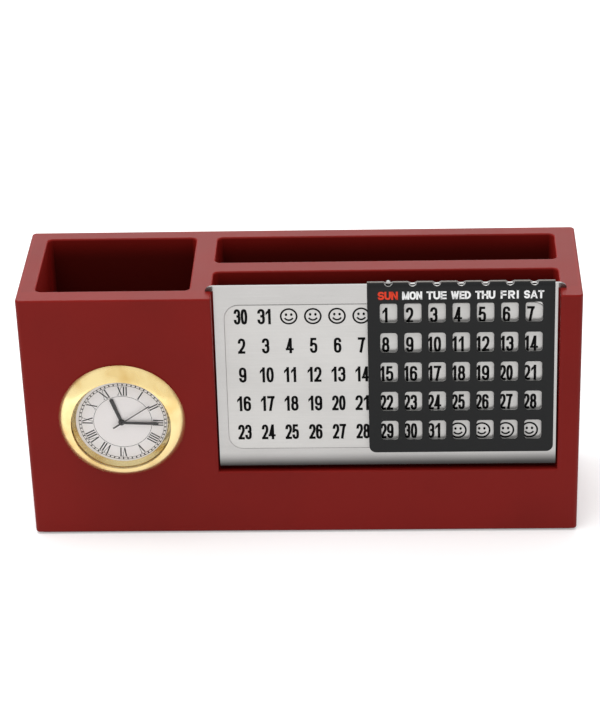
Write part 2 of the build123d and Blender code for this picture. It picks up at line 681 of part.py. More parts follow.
CENTRE = (0.0, 0.0)
MINUTE_AXIS = polar(MINUTE_AXIS_REACH, MINUTE_AXIS_ANGLE)
THIRD_AXIS = polar(THIRD_AXIS_REACH, THIRD_AXIS_ANGLE)
STEP_AXIS = polar(STEP_AXIS_REACH, STEP_AXIS_ANGLE)
step_to_rotor = polar(ROTOR_AXIS_REACH, ROTOR_AXIS_ANGLE)
ROTOR_AXIS = (STEP_AXIS[0] + step_to_rotor[0], STEP_AXIS[1] + step_to_rotor[1])
CELL_AXIS = (-CELL_OFFSET, -CELL_OFFSET)
PIVOTS = (
    (MINUTE_AXIS, MINUTE_ARBOR_R),
    (THIRD_AXIS, THIRD_ARBOR_R),
    (STEP_AXIS, STEP_ARBOR_R),
    (ROTOR_AXIS, ROTOR_ARBOR_R),
)
PILLARS = [polar(PILLAR_CIRCLE_R, angle) for angle in PILLAR_ANGLES]
BOSSES = [polar(BOSS_CIRCLE_R, angle) for angle in BOSS_ANGLES]


def arbor(radius, at, start=FRONT_PLATE_DEPTH + PIVOT_END, end=None):
    """Shaft of the train from one depth to another."""
    if end is None:
        end = BACK_PLATE_DEPTH + MOVEMENT_PLATE_T - PIVOT_END
    disc(start, end - start, radius, at)


with BuildPart() as clock_case:
    disc(CASE_RIM_DEPTH, CASE_DEPTH - CASE_RIM_DEPTH, CASE_R)
    fillet(clock_case.edges().sort_by(Axis.Y)[-1], EDGE_R)
    disc(CASE_RIM_DEPTH, CASE_BACK_IN - CASE_RIM_DEPTH, LENS_SEAT_R, mode=Mode.SUBTRACT)
    for boss in BOSSES:
        disc(CASE_BACK_IN - BACK_CLEAR, BACK_CLEAR, BOSS_R, boss)
    # Seat and opening of the battery cover, and the setting stem's hole
    disc(CASE_BACK_IN, CASE_BACK_T, HATCH_SEAT_R, CELL_AXIS, mode=Mode.SUBTRACT)
    disc(
        CASE_DEPTH - HATCH_FLANGE_T,
        HATCH_FLANGE_T,
        HATCH_R + HATCH_CLEAR,
        CELL_AXIS,
        mode=Mode.SUBTRACT,
    )
    disc(CASE_BACK_IN, CASE_BACK_T, MINUTE_ARBOR_R + FIT, MINUTE_AXIS, mode=Mode.SUBTRACT)
finish(clock_case, "clock_case")

with BuildPart() as battery_cover:
    disc(CASE_DEPTH - HATCH_FLANGE_T, HATCH_FLANGE_T, HATCH_R, CELL_AXIS)
    disc(CASE_BACK_IN, CASE_BACK_T - HATCH_FLANGE_T, HATCH_SEAT_R - HATCH_CLEAR, CELL_AXIS)
    with BuildSketch(clock_plane(CASE_DEPTH)):
        with Locations(CELL_AXIS):
            SlotOverall(COIN_SLOT_LENGTH, COIN_SLOT_W)
    extrude(amount=COIN_SLOT_DEPTH, mode=Mode.SUBTRACT)
finish(battery_cover, "battery_cover")

CELL_BACK = TRAIN_DEPTH + CELL_LEVEL + CELL_T

with BuildPart() as button_cell:
    disc(TRAIN_DEPTH + CELL_LEVEL, CELL_T, CELL_R, CELL_AXIS)
    fillet(button_cell.edges(), EDGE_R / 2)
finish(button_cell, "button_cell")

with BuildPart() as battery_contact:
    # Dished spring washer between the cell and its cover
    with BuildSketch(half_section(CELL_AXIS)):
        with BuildLine():
            Polyline(
                (CONTACT_INNER_R, CELL_BACK),
                (CONTACT_OUTER_R, CASE_BACK_IN - CONTACT_T),
                (CONTACT_OUTER_R, CASE_BACK_IN),
                (CONTACT_INNER_R, CELL_BACK + CONTACT_T),
                close=True,
            )
        make_face()
    revolve(axis=clock_axis(CELL_AXIS))
finish(battery_contact, "battery_contact")

# ---- Movement -----------------------------------------------------------------------

with BuildPart() as movement_front_plate:
    disc(FRONT_PLATE_DEPTH, MOVEMENT_PLATE_T, MOVEMENT_R, hole=HOUR_PIPE_R + FIT)
    for pillar in PILLARS:
        disc(TRAIN_DEPTH, TRAIN_SPACE, PILLAR_R, pillar)
        screw_end = BACK_PLATE_DEPTH + MOVEMENT_PLATE_T - PILLAR_SCREW_LENGTH
        disc(
            screw_end,
            BACK_PLATE_DEPTH - screw_end,
            PILLAR_SCREW_R + SCREW_FIT,
            pillar,
            mode=Mode.SUBTRACT,
        )
    disc(TRAIN_DEPTH, CELL_LEVEL, CELL_POST_R, CELL_AXIS)
    for at, radius in PIVOTS:
        disc(FRONT_PLATE_DEPTH, MOVEMENT_PLATE_T, radius + FIT, at, mode=Mode.SUBTRACT)
finish(movement_front_plate, "movement_front_plate")

with BuildPart() as movement_back_plate:
    disc(BACK_PLATE_DEPTH, MOVEMENT_PLATE_T, MOVEMENT_R, hole=SECOND_ARBOR_R + FIT)
    disc(BACK_PLATE_DEPTH, MOVEMENT_PLATE_T, CELL_R + FIT, CELL_AXIS, mode=Mode.SUBTRACT)
    for at, radius in PIVOTS:
        disc(BACK_PLATE_DEPTH, MOVEMENT_PLATE_T, radius + FIT, at, mode=Mode.SUBTRACT)
    for pillar in PILLARS:
        disc(
            BACK_PLATE_DEPTH,
            MOVEMENT_PLATE_T,
            PILLAR_SCREW_R + SCREW_FIT,
            pillar,
            mode=Mode.SUBTRACT,
        )
finish(movement_back_plate, "movement_back_plate")

with BuildPart() as movement_screws:
    plate_back = BACK_PLATE_DEPTH + MOVEMENT_PLATE_T
    for pillar in PILLARS:
        disc(plate_back - PILLAR_SCREW_LENGTH, PILLAR_SCREW_LENGTH, PILLAR_SCREW_R, pillar)
        disc(plate_back, PILLAR_SCREW_HEAD_H, PILLAR_SCREW_HEAD_R, pillar)
finish(movement_screws, "movement_screws")

with BuildPart() as hour_wheel:
    gear(HOUR_LEVEL, HOUR_T, HOUR_MODULE, HOUR_TEETH, CENTRE, MINUTE_AXIS_ANGLE, gap=True)
    pipe_start = DIAL_DEPTH - HOUR_HAND["rise"]
    arbor(HOUR_PIPE_R, CENTRE, pipe_start, TRAIN_DEPTH + HOUR_LEVEL + HOUR_T)
    disc(
        pipe_start,
        TRAIN_DEPTH + HOUR_LEVEL + HOUR_T - pipe_start,
        CANNON_PIPE_R + FIT,
        mode=Mode.SUBTRACT,
    )
finish(hour_wheel, "hour_wheel")

with BuildPart() as cannon_pinion:
    pipe_start = DIAL_DEPTH - MINUTE_HAND["rise"]
    pipe_end = TRAIN_DEPTH + CENTRE_LEVEL + CENTRE_T + FIT
    gear(CANNON_LEVEL, CANNON_T, CANNON_MODULE, CANNON_TEETH, CENTRE, MINUTE_AXIS_ANGLE)
    arbor(CANNON_PIPE_R, CENTRE, pipe_start, pipe_end)
    disc(pipe_start, pipe_end - pipe_start, SECOND_ARBOR_R + FIT, mode=Mode.SUBTRACT)
finish(cannon_pinion, "cannon_pinion")

with BuildPart() as minute_wheel:
    facing = MINUTE_AXIS_ANGLE + 180
    level = CANNON_LEVEL + PINION_OVERRUN
    gear(level, MINUTE_T, CANNON_MODULE, MINUTE_TEETH, MINUTE_AXIS, facing, gap=True)
    pinion(HOUR_LEVEL, HOUR_T, HOUR_MODULE, MINUTE_PINION_TEETH, MINUTE_AXIS, facing)
    stem_end = CASE_DEPTH + KNOB_CLEAR + KNOB_BORE_DEPTH
    arbor(MINUTE_ARBOR_R, MINUTE_AXIS, end=stem_end)
finish(minute_wheel, "minute_wheel")

with BuildPart() as setting_knob:
    knob_depth = CASE_DEPTH + KNOB_CLEAR
    disc(knob_depth, KNOB_T, KNOB_R, MINUTE_AXIS)
    fillet(setting_knob.edges().sort_by(Axis.Y)[-1], EDGE_R / 2)
    for rib in range(KNOB_RIBS):
        rib_at = polar(KNOB_R, rib * 360 / KNOB_RIBS)
        rib_place = (MINUTE_AXIS[0] + rib_at[0], MINUTE_AXIS[1] + rib_at[1])
        disc(knob_depth, KNOB_T, KNOB_RIB_R, rib_place, mode=Mode.SUBTRACT)
    disc(knob_depth, KNOB_BORE_DEPTH, MINUTE_ARBOR_R, MINUTE_AXIS, mode=Mode.SUBTRACT)
finish(setting_knob, "setting_knob")

with BuildPart() as centre_wheel:
    gear(
        CENTRE_LEVEL,
        CENTRE_T,
        CENTRE_MODULE,
        CENTRE_TEETH,
        CENTRE,
        THIRD_AXIS_ANGLE,
        gap=True,
        bore=CANNON_PIPE_R + FIT,
    )
finish(centre_wheel, "centre_wheel")

with BuildPart() as third_wheel:
    facing = THIRD_AXIS_ANGLE + 180
    level = SECOND_PINION_LEVEL + PINION_OVERRUN
    gear(level, THIRD_T, THIRD_MODULE, THIRD_TEETH, THIRD_AXIS, facing, gap=True)
    pinion(CENTRE_LEVEL, CENTRE_T, CENTRE_MODULE, THIRD_PINION_TEETH, THIRD_AXIS, facing)
    arbor(THIRD_ARBOR_R, THIRD_AXIS)
finish(third_wheel, "third_wheel")

with BuildPart() as second_wheel:
    level = STEP_PINION_LEVEL + PINION_OVERRUN
    gear(level, SECOND_T, SECOND_MODULE, SECOND_TEETH, CENTRE, STEP_AXIS_ANGLE, gap=True)
    gear(
        SECOND_PINION_LEVEL,
        SECOND_PINION_T,
        THIRD_MODULE,
        SECOND_PINION_TEETH,
        CENTRE,
        THIRD_AXIS_ANGLE,
    )
    arbor(SECOND_ARBOR_R, CENTRE, start=DIAL_DEPTH - SECOND_HAND["rise"])
finish(second_wheel, "second_wheel")

with BuildPart() as step_wheel:
    facing = STEP_AXIS_ANGLE + 180
    level = ROTOR_PINION_LEVEL + PINION_OVERRUN
    gear(level, STEP_T, STEP_MODULE, STEP_TEETH, STEP_AXIS, ROTOR_AXIS_ANGLE, gap=True)
    gear(STEP_PINION_LEVEL, STEP_PINION_T, SECOND_MODULE, STEP_PINION_TEETH, STEP_AXIS, facing)
    arbor(STEP_ARBOR_R, STEP_AXIS)
finish(step_wheel, "step_wheel")

with BuildPart() as rotor:
    facing = ROTOR_AXIS_ANGLE + 180
    gear(
        ROTOR_PINION_LEVEL,
        ROTOR_PINION_T,
        STEP_MODULE,
        ROTOR_PINION_TEETH,
        ROTOR_AXIS,
        facing,
    )
    disc(TRAIN_DEPTH + MAGNET_LEVEL, MAGNET_T, MAGNET_R, ROTOR_AXIS)
    arbor(ROTOR_ARBOR_R, ROTOR_AXIS)
finish(rotor, "rotor")

CORE_BACK = STATOR_LEVEL
CORE_TOP = COIL_TOP + CORE_OVERHANG
CORE_BOTTOM = COIL_BOTTOM - CORE_OVERHANG

with BuildPart() as stator:
    right = COIL_X + CORE_W / 2
    leg_x = ROTOR_AXIS[0] + STATOR_RING_R / 2
    with BuildSketch(train_plane(STATOR_LEVEL)):
        with Locations(ROTOR_AXIS):
            Circle(STATOR_RING_R)
        for x0, x1, y0, y1 in (
            (ROTOR_AXIS[0], right, CORE_TOP - STATOR_LEG_W, CORE_TOP),
            (leg_x - STATOR_LEG_W / 2, leg_x + STATOR_LEG_W / 2, CORE_BOTTOM, ROTOR_AXIS[1]),
            (leg_x - STATOR_LEG_W / 2, right, CORE_BOTTOM, CORE_BOTTOM + STATOR_LEG_W),
        ):
            with Locations(((x0 + x1) / 2, (y0 + y1) / 2)):
                Rectangle(x1 - x0, y1 - y0)
        with Locations(ROTOR_AXIS):
            Circle(STATOR_HOLE_R, mode=Mode.SUBTRACT)
    extrude(amount=-STATOR_T)
finish(stator, "stator")

with BuildPart() as coil_core:
    with BuildSketch(train_plane(CORE_BACK)):
        with Locations((COIL_X, (CORE_TOP + CORE_BOTTOM) / 2)):
            Rectangle(CORE_W, CORE_TOP - CORE_BOTTOM)
    extrude(amount=CORE_T)
finish(coil_core, "coil_core")

with BuildPart() as coil:
    core_middle = CORE_BACK - CORE_T / 2
    coil_low = Plane(
        origin=train_plane(COIL_LEVEL).from_local_coords((COIL_X, COIL_BOTTOM, 0)),
        x_dir=(1, 0, 0),
        z_dir=(0, 0, 1),
    )
    with BuildSketch(coil_low):
        Circle(COIL_R)
        with Locations((0, core_middle - COIL_LEVEL)):
            Rectangle(CORE_W, CORE_T, mode=Mode.SUBTRACT)
    extrude(amount=COIL_TOP - COIL_BOTTOM)
finish(coil, "coil")

with BuildPart() as circuit_board:
    with BuildSketch(train_plane(TRAIN_SPACE)):
        with Locations((BOARD_X, BOARD_Y)):
            Rectangle(BOARD_W, BOARD_H)
    extrude(amount=BOARD_T)
    disc(BACK_PLATE_DEPTH - BOARD_T - CHIP_H, CHIP_H, CHIP_R, (BOARD_X, BOARD_Y))
finish(circuit_board, "circuit_board")

with BuildPart() as quartz_crystal:
    can_left = train_plane(TRAIN_SPACE - CRYSTAL_R).from_local_coords(
        (CRYSTAL_X - CRYSTAL_LENGTH / 2, CRYSTAL_Y, 0)
    )
    with BuildSketch(Plane(origin=can_left, x_dir=(0, 1, 0), z_dir=(1, 0, 0))):
        Circle(CRYSTAL_R)
    extrude(amount=CRYSTAL_LENGTH)
finish(quartz_crystal, "quartz_crystal")

# ---- Hands --------------------------------------------------------------------------


def hand(shape, bore_r, tail=0.0):
    """Baton hand that widens to a round tip, with a round hub, turned to its angle."""
    half_hub, half_tip = shape["hub_w"] / 2, shape["tip_w"] / 2
    tip = shape["length"] - half_tip
    with BuildSketch(clock_plane(DIAL_DEPTH - shape["rise"])) as face:
        with Locations(Location((0, 0), 90 - shape["angle"])):
            Polygon((0, half_hub), (0, -half_hub), (tip, -half_tip), (tip, half_tip), align=None)
            with Locations((tip, 0)):
                Circle(half_tip)
            if tail:
                with Locations((-tail / 2, 0)):
                    SlotOverall(tail, SECOND_TAIL_W)
            Circle(bore_r + shape["hub_wall"])
            Circle(bore_r, mode=Mode.SUBTRACT)
    extrude(face.sketch, amount=-shape["thick"])


with BuildPart() as hour_hand:
    hand(HOUR_HAND, HOUR_PIPE_R)
finish(hour_hand, "hour_hand")

with BuildPart() as minute_hand:
    hand(MINUTE_HAND, CANNON_PIPE_R)
finish(minute_hand, "minute_hand")

with BuildPart() as second_hand:
    hand(SECOND_HAND, SECOND_ARBOR_R, tail=SECOND_TAIL)
finish(second_hand, "second_hand")

print("slider pitch", COLUMN_PITCH, "clock centre", CLOCK_X, CLOCK_UP)
print("minute axis", MINUTE_AXIS, "third axis", THIRD_AXIS)
print("step axis", STEP_AXIS, "rotor axis", ROTOR_AXIS)
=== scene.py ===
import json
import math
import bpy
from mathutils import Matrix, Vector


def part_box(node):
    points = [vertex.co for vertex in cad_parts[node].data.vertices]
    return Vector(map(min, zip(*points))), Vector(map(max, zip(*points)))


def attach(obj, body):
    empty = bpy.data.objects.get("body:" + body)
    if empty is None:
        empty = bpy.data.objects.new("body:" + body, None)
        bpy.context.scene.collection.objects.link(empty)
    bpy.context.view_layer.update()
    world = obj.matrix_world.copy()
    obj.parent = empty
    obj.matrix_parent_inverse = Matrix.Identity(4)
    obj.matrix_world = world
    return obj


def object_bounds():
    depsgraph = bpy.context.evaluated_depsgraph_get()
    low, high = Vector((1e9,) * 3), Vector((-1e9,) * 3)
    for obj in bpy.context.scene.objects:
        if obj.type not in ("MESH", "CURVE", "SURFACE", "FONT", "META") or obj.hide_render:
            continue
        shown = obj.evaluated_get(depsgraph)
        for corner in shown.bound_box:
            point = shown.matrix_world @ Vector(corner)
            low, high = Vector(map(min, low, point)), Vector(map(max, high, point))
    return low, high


bl_info = {
    "name": "Desk organiser with sliding calendar and clock",
    "version": (1, 0, 0),
    "blender": (4, 5, 0),
    "location": "View3D > Sidebar > Organiser",
    "description": "Finishes, prints and stage of a wooden desk organiser, round its packed model",
    "category": "Object",
}

import bmesh
import bpy
from bpy.props import FloatProperty, FloatVectorProperty, IntProperty, PointerProperty
from mathutils import Matrix, Vector

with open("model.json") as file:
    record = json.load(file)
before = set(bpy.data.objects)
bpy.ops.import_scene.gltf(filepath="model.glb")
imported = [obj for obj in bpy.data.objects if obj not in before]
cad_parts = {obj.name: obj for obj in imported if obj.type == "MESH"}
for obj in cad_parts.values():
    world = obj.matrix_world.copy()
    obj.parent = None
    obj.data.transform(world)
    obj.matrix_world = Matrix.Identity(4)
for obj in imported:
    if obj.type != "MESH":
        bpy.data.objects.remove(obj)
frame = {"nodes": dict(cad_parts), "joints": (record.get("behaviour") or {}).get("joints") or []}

MM = 0.001
CAD_LOW, CAD_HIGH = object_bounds()
X_AXIS, Y_AXIS, Z_AXIS = Vector((1, 0, 0)), Vector((0, 1, 0)), Vector((0, 0, 1))
UP, DOWN, RIGHT = 90, -90, 0  # headings of a pen, in degrees from the right
WELD = 0.001 * MM
SMOOTH_TURN = 12  # degrees of a pen's turn that one straight step stands for
FLANK_TURN = 14  # degrees that each flank of an oval turns

DAYS = ("SUN", "MON", "TUE", "WED", "THU", "FRI", "SAT")
NUMERALS = ("XII", "I", "II", "III", "IIII", "V", "VI", "VII", "VIII", "IX", "X", "XI")
FACE = ":"  # stands for a smiling face where a month has no date
DATE_ROWS = 5
DATE_COLUMNS = 13
WEEK = 7
LAST_DATE = 31


# ---- Places taken from the frame -----------------------------------------------------


def front_plane(node):
    """Outward normal of a flat node's front, and a point on it."""
    faces = [f for f in frame["nodes"][node].data.polygons if f.normal.y < -0.99]
    face = min(faces, key=lambda f: f.center.y)
    return face.normal.copy(), face.center.copy()


def drawing_place(node, x, z):
    """Matrix of a drawing on a node's front, with X right, Y up and Z outwards, at x and z."""
    normal, point = front_plane(node)
    up = normal.cross(X_AXIS)
    origin = point + up * ((z - point.z) / up.z)
    origin.x = x
    turn = Matrix((X_AXIS, up, normal)).transposed().to_4x4()
    return Matrix.Translation(origin) @ turn


def middle(node):
    low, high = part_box(node)
    return (low + high) / 2


def joint(name):
    return next(j for j in frame["joints"] if j["name"] == name)


COLUMN_PITCH = -joint("slider_shift")["range_m"][0] / (WEEK - 1)
FILM_LOW, FILM_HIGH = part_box("date_film")
SLIDER_LOW, SLIDER_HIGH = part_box("day_slider")
WOOD_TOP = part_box("front_board")[1].z
WOOD_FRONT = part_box("front_board")[0].y
DIAL_MIDDLE = middle("clock_dial")


# ---- Sizes and colours that a user would change --------------------------------------


def length(name, description, default):
    return FloatProperty(
        name=name, description=description, default=default, min=0.0, precision=5, unit="LENGTH"
    )


def share(name, description, default):
    return FloatProperty(
        name=name, description=description, default=default, min=0.0, max=1.0, subtype="FACTOR"
    )


def colour(name, description, default):
    return FloatVectorProperty(
        name=name,
        description=description,
        default=default,
        size=3,
        min=0.0,
        max=1.0,
        subtype="COLOR",
    )


def angle(name, description, degrees):
    return FloatProperty(
        name=name,
        description=description,
        default=math.radians(degrees),
        subtype="ANGLE",
        unit="ROTATION",
    )


class BodySettings(bpy.types.PropertyGroup):
    """Paint of the wooden body."""

    paint: colour("Paint", "Satin maroon paint", (0.195, 0.0085, 0.0065))
    # painted shade: a darker copy of the paint for deep in the pockets
    deep_paint: colour("Paint inside", "Paint deep in the pockets", (0.066, 0.0040, 0.0026))
    roughness: share("Roughness", "Roughness of the dried paint", 0.42)
    felt: colour("Felt", "Felt under the base", (0.03, 0.012, 0.012))


class PlateSettings(bpy.types.PropertyGroup):
    """Steel plate and the film with the dates."""

    steel: colour("Steel", "Brushed steel", (0.47, 0.46, 0.45))
    film: colour("Film", "Steel seen through the film", (0.62, 0.607, 0.59))
    roughness: share("Roughness", "Roughness across the brushing", 0.22)
    ink: colour("Ink", "Black ink of the dates", (0.002, 0.002, 0.002))
    row_pitch: length("Row pitch", "From one row of dates to the next", 11.39 * MM)
    rows_rise: length("Rise of the rows", "Middle row above the film's middle", 1.1 * MM)
    rows_shift: length("Shift of the rows", "Dates left of their columns' middles", 0.05 * MM)
    digit_height: length("Digit height", "Height of a digit", 5.95 * MM)
    digit_width: length("Digit width", "Width of a digit", 2.7 * MM)
    digit_line: length("Digit line", "Width of a digit's strokes", 0.95 * MM)
    digit_gap: length("Digit gap", "Gap between two digits", 0.05 * MM)
    face_diameter: length("Face", "Diameter of a smiling face", 6.3 * MM)
    face_line: length("Face line", "Width of a face's lines", 0.64 * MM)
    film_line: length("Film edge", "Width of the film's visible edge", 0.2 * MM)
    film_radius: length("Film corner", "Radius of the film's corners", 5.2 * MM)
    ink_height: length("Ink height", "Thickness of the printed ink", 0.02 * MM)


class SliderSettings(bpy.types.PropertyGroup):
    """Black slider with the names of the days."""

    lacquer: colour("Lacquer", "Black lacquer", (0.0062, 0.0066, 0.007))
    bare_edge: colour("Cut edge", "Bare metal of the notches' cut edges", (0.82, 0.82, 0.80))
    # painted highlight: a lighter colour along the fold's crest
    worn: colour("Worn lacquer", "Thin lacquer along the fold's crest", (0.15, 0.135, 0.12))
    sunday: colour("Sunday", "Red ink of the first day", (0.82, 0.065, 0.03))
    weekday: colour("Weekday", "White ink of the other days", (1.0, 1.0, 1.0))
    first_column: length("First column", "First column from the slider's left edge", 7.5 * MM)
    names_rise: length("Rise of the names", "Names above the slider's bottom edge", 61.7 * MM)
    names_shift: length("Shift of the names", "Names left of their columns", 0.18 * MM)
    name_width: length("Name width", "Width that a day's name is fitted to", 7.05 * MM)
    letter_height: length("Letter height", "Height of the capitals", 3.1 * MM)
    letter_line: length("Letter line", "Width of a letter's strokes", 0.7 * MM)
    letter_gap: length("Letter gap", "Widest gap between two letters", 0.6 * MM)


class ClockSettings(bpy.types.PropertyGroup):
    """Clock insert and its dial."""

    gold: colour("Gold", "Polished gold of the bezel", (0.95, 0.765, 0.38))
    # darker gold for clouds on the bezel: polishing marks and painted reflection
    dark_gold: colour("Darker gold", "Gold where it is smeared", (0.70, 0.44, 0.13))
    dial: colour("Dial", "Enamel of the dial", (0.96, 0.92, 0.91))
    ink: colour("Ink", "Ink on the dial", (0.012, 0.013, 0.013))
    lacquer: colour("Hands", "Lacquer of the hands", (0.02, 0.018, 0.018))
    print_shift: length("Shift of the print", "Print right of the dial's middle", 0.4 * MM)
    print_turn: angle("Turn of the print", "Print turned clockwise", 2.6)
    track_inner: length("Track inside", "Inner radius of the minute track", 15.1 * MM)
    track_outer: length("Track outside", "Outer radius of the minute track", 15.9 * MM)
    circle: length("Circle", "Radius of the thin circle", 10.6 * MM)
    line: length("Line", "Width of the thin lines", 0.13 * MM)
    numeral_foot: length("Numeral foot", "Radius of the numerals' feet", 10.95 * MM)
    numeral_height: length("Numeral height", "Height of the numerals", 3.7 * MM)
    numeral_stem: length("Numeral stem", "Width of the thick strokes", 0.45 * MM)
    numeral_thin: length("Numeral hairline", "Width of the thin strokes", 0.14 * MM)
    minutes: IntProperty(name="Minutes", description="Blocks of the track", default=60, min=1)


class StageSettings(bpy.types.PropertyGroup):
    """Floor, lamps and camera."""

    camera: FloatVectorProperty(
        name="Camera",
        description="Place of the camera",
        default=(0.0370, -0.8123, 0.5169),
        size=3,
        subtype="TRANSLATION",
        unit="LENGTH",
    )
    lens: FloatProperty(name="Lens", description="Focal length, mm", default=126.93, unit="CAMERA")
    tilt: angle("Tilt", "Camera's view below the horizon", 29.438)
    swing: angle("Swing", "Camera's view to the left", 2.687)
    roll: angle("Roll", "Camera's turn to the right about its view", 1.889)
    floor: colour("Floor", "Pale floor", (0.80, 0.80, 0.80))
    glow: FloatProperty(name="Glow", description="White added to the seen floor", default=0.3)
    sky: FloatProperty(name="Sky", description="Strength of the light all round", default=0.6)
    key: FloatProperty(name="Key lamp", description="Power of the lamp above", default=13.0)
    rear: FloatProperty(name="Rear lamp", description="Power of the lamp behind", default=7.0)


def settings():
    return bpy.context.scene.organiser


class OrganiserSettings(bpy.types.PropertyGroup):
    """All settings of the organiser."""

    body: PointerProperty(type=BodySettings)
    plate: PointerProperty(type=PlateSettings)
    slider: PointerProperty(type=SliderSettings)
    clock: PointerProperty(type=ClockSettings)
    stage: PointerProperty(type=StageSettings)


# ---- Shader expressions --------------------------------------------------------------


class Value:
    """A socket of a material, so that sums on it are written as expressions."""

    def __init__(self, finish, socket):
        self.finish = finish
        self.socket = socket

    def maths(self, operation, *others, clamp=False):
        kind = {"operation": operation, "use_clamp": clamp}
        return self.finish.node("ShaderNodeMath", kind, self, *others)

    def __add__(self, other):
        return self.maths("ADD", other)

    def __mul__(self, other):
        return self.maths("MULTIPLY", other)

    def __sub__(self, other):
        return self.maths("SUBTRACT", other)

    def __rsub__(self, other):
        return self.finish.node("ShaderNodeMath", {"operation": "SUBTRACT"}, other, self)

    def __gt__(self, other):
        return self.maths("GREATER_THAN", other)

    def __lt__(self, other):
        return self.maths("LESS_THAN", other)

    __radd__ = __add__
    __rmul__ = __mul__

    def size(self):
        return self.maths("ABSOLUTE")

    def clamped(self):
        return self.maths("ADD", 0.0, clamp=True)

    def dot(self, direction):
        """Share of a vector along a direction."""
        return self.finish.node(
            "ShaderNodeVectorMath",
            {"operation": "DOT_PRODUCT"},
            self,
            tuple(direction),
            output="Value",
        )


class Finish:
    """A material with one Principled shader, whose varying sockets take expressions."""

    def __init__(self, name, **sockets):
        self.material = bpy.data.materials.new(name)
        self.material.use_nodes = True
        self.tree = self.material.node_tree
        self.shader = self.tree.nodes["Principled BSDF"]
        self.set(**sockets)

    def set(self, **sockets):
        """Sets or links sockets of the shader, such as base_color or roughness."""
        for name, value in sockets.items():
            label = name.replace("_", " ").title().replace("Ior", "IOR")
            self.fill(self.shader.inputs[label], value)

    def fill(self, socket, value):
        if isinstance(value, Value):
            self.tree.links.new(value.socket, socket)
        elif hasattr(value, "__len__") and len(value) == 3 and socket.type == "RGBA":
            socket.default_value = (*value, 1)
        else:
            socket.default_value = value

    def node(self, kind, choices, *values, output=0, **named):
        """A node of this type, its choices first, then its sockets in order or by name."""
        node = self.tree.nodes.new(kind)
        for name, value in choices.items():
            setattr(node, name, value)
        for socket, value in zip(node.inputs, values):
            self.fill(socket, value)
        for name, value in named.items():
            self.fill(node.inputs[name], value)
        return Value(self, node.outputs[output])

    def place(self, scale=(1, 1, 1)):
        """Object coordinates, stretched."""
        here = self.node("ShaderNodeTexCoord", {}, output="Object")
        return self.node("ShaderNodeMapping", {}, here, Scale=scale)

    def facing(self):
        """The surface's normal in object coordinates."""
        return self.node("ShaderNodeTexCoord", {}, output="Normal")

    def noise(self, scale, detail=3.0, stretch=(1, 1, 1), roughness=0.5):
        """Noise from 0 to 1, its scale in cells per metre."""
        return self.node(
            "ShaderNodeTexNoise",
            {"noise_dimensions": "3D"},
            Vector=self.place(stretch),
            Scale=scale,
            Detail=detail,
            Roughness=roughness,
            output="Fac",
        )

    def mix(self, factor, first, second):
        """Colour between two colours."""
        node = self.tree.nodes.new("ShaderNodeMix")
        node.data_type = "RGBA"
        self.fill(node.inputs["Factor"], factor)
        self.fill(node.inputs[6], first)
        self.fill(node.inputs[7], second)
        return Value(self, node.outputs[2])

    def ramp(self, value, low, high, from_low=0.0, from_high=1.0):
        """A value spread from one range to another, and held inside it."""
        return self.node(
            "ShaderNodeMapRange",
            {"clamp": True, "interpolation_type": "SMOOTHSTEP"},
            value,
            from_low,
            from_high,
            low,
            high,
        )

    def show(self, surface):
        """Makes a mix of shaders the surface that is seen."""
        self.fill(self.tree.nodes["Material Output"].inputs["Surface"], surface)

    def bump(self, height, strength, distance):
        sockets = {"Height": height, "Strength": strength, "Distance": distance}
        self.set(normal=self.node("ShaderNodeBump", {}, output="Normal", **sockets))


def shade(tint, amount):
    """A colour made darker or lighter."""
    return [min(1, amount * part) for part in tint]


def dress(material, *nodes):
    """Gives CAD nodes a material."""
    for name in nodes:
        data = frame["nodes"][name].data
        data.materials.clear()
        data.materials.append(material)


# ---- Finishes ------------------------------------------------------------------------


def paint_finish():
    """Satin paint over wood: faint clouds and orange peel, with painted shade deep in the pockets
    and painted light on their end walls.
    """
    body = settings().body
    finish = Finish("maroon_paint", specular_ior_level=0.15, specular_tint=(1.0, 0.78, 0.74, 1))
    clouds = finish.noise(22, detail=4)
    tint = finish.mix(
        finish.ramp(clouds, 0, 1, 0.3, 0.7),
        shade(body.paint, 0.93),
        shade(body.paint, 1.06),
    )
    place = finish.place()
    dark, bare = WOOD_TOP - 9 * MM, WOOD_TOP + 2.5 * MM  # heights of the darkest painted shade and of none
    # painted shade: inside the pockets the paint darkens from just above the wood's top down to 9
    # mm below it
    shade_depth = 1 - finish.ramp(place.dot(Z_AXIS), 0, 1, dark, bare)
    inside = inner_mask(place)
    # painted light: pocket walls facing along X take a lighter copy of the paint and are left out
    # of the painted shade
    lit_ends = finish.facing().dot(X_AXIS).size()
    finish.set(
        base_color=finish.mix(
            shade_depth * inside * (1 - lit_ends),
            finish.mix(inside * lit_ends, tint, shade(body.paint, 1.5)),
            body.deep_paint,
        ),
        roughness=body.roughness + finish.noise(90, detail=2) * 0.06,
    )
    finish.bump(finish.noise(900, detail=2), 0.06, 0.05 * MM)
    return finish.material


def inner_mask(place):
    """1 on walls that stand inside the block's outline, 0 on its outer faces."""
    inset, front = 1.5 * MM, 7 * MM
    across = place.dot(X_AXIS).size() < CAD_HIGH.x - inset
    behind = place.dot(Y_AXIS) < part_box("back_board")[1].y - inset
    return (place.dot(Y_AXIS) > WOOD_FRONT + front) * (across * behind)


def felt_finish():
    """Short felt."""
    felt = settings().body.felt
    finish = Finish("felt", roughness=1.0, sheen_weight=0.5, sheen_roughness=0.6)
    fibres = finish.noise(2600, detail=5, roughness=0.8)
    finish.set(base_color=finish.mix(fibres, shade(felt, 0.5), shade(felt, 1.8)))
    finish.bump(fibres, 0.6, 0.2 * MM)
    return finish.material


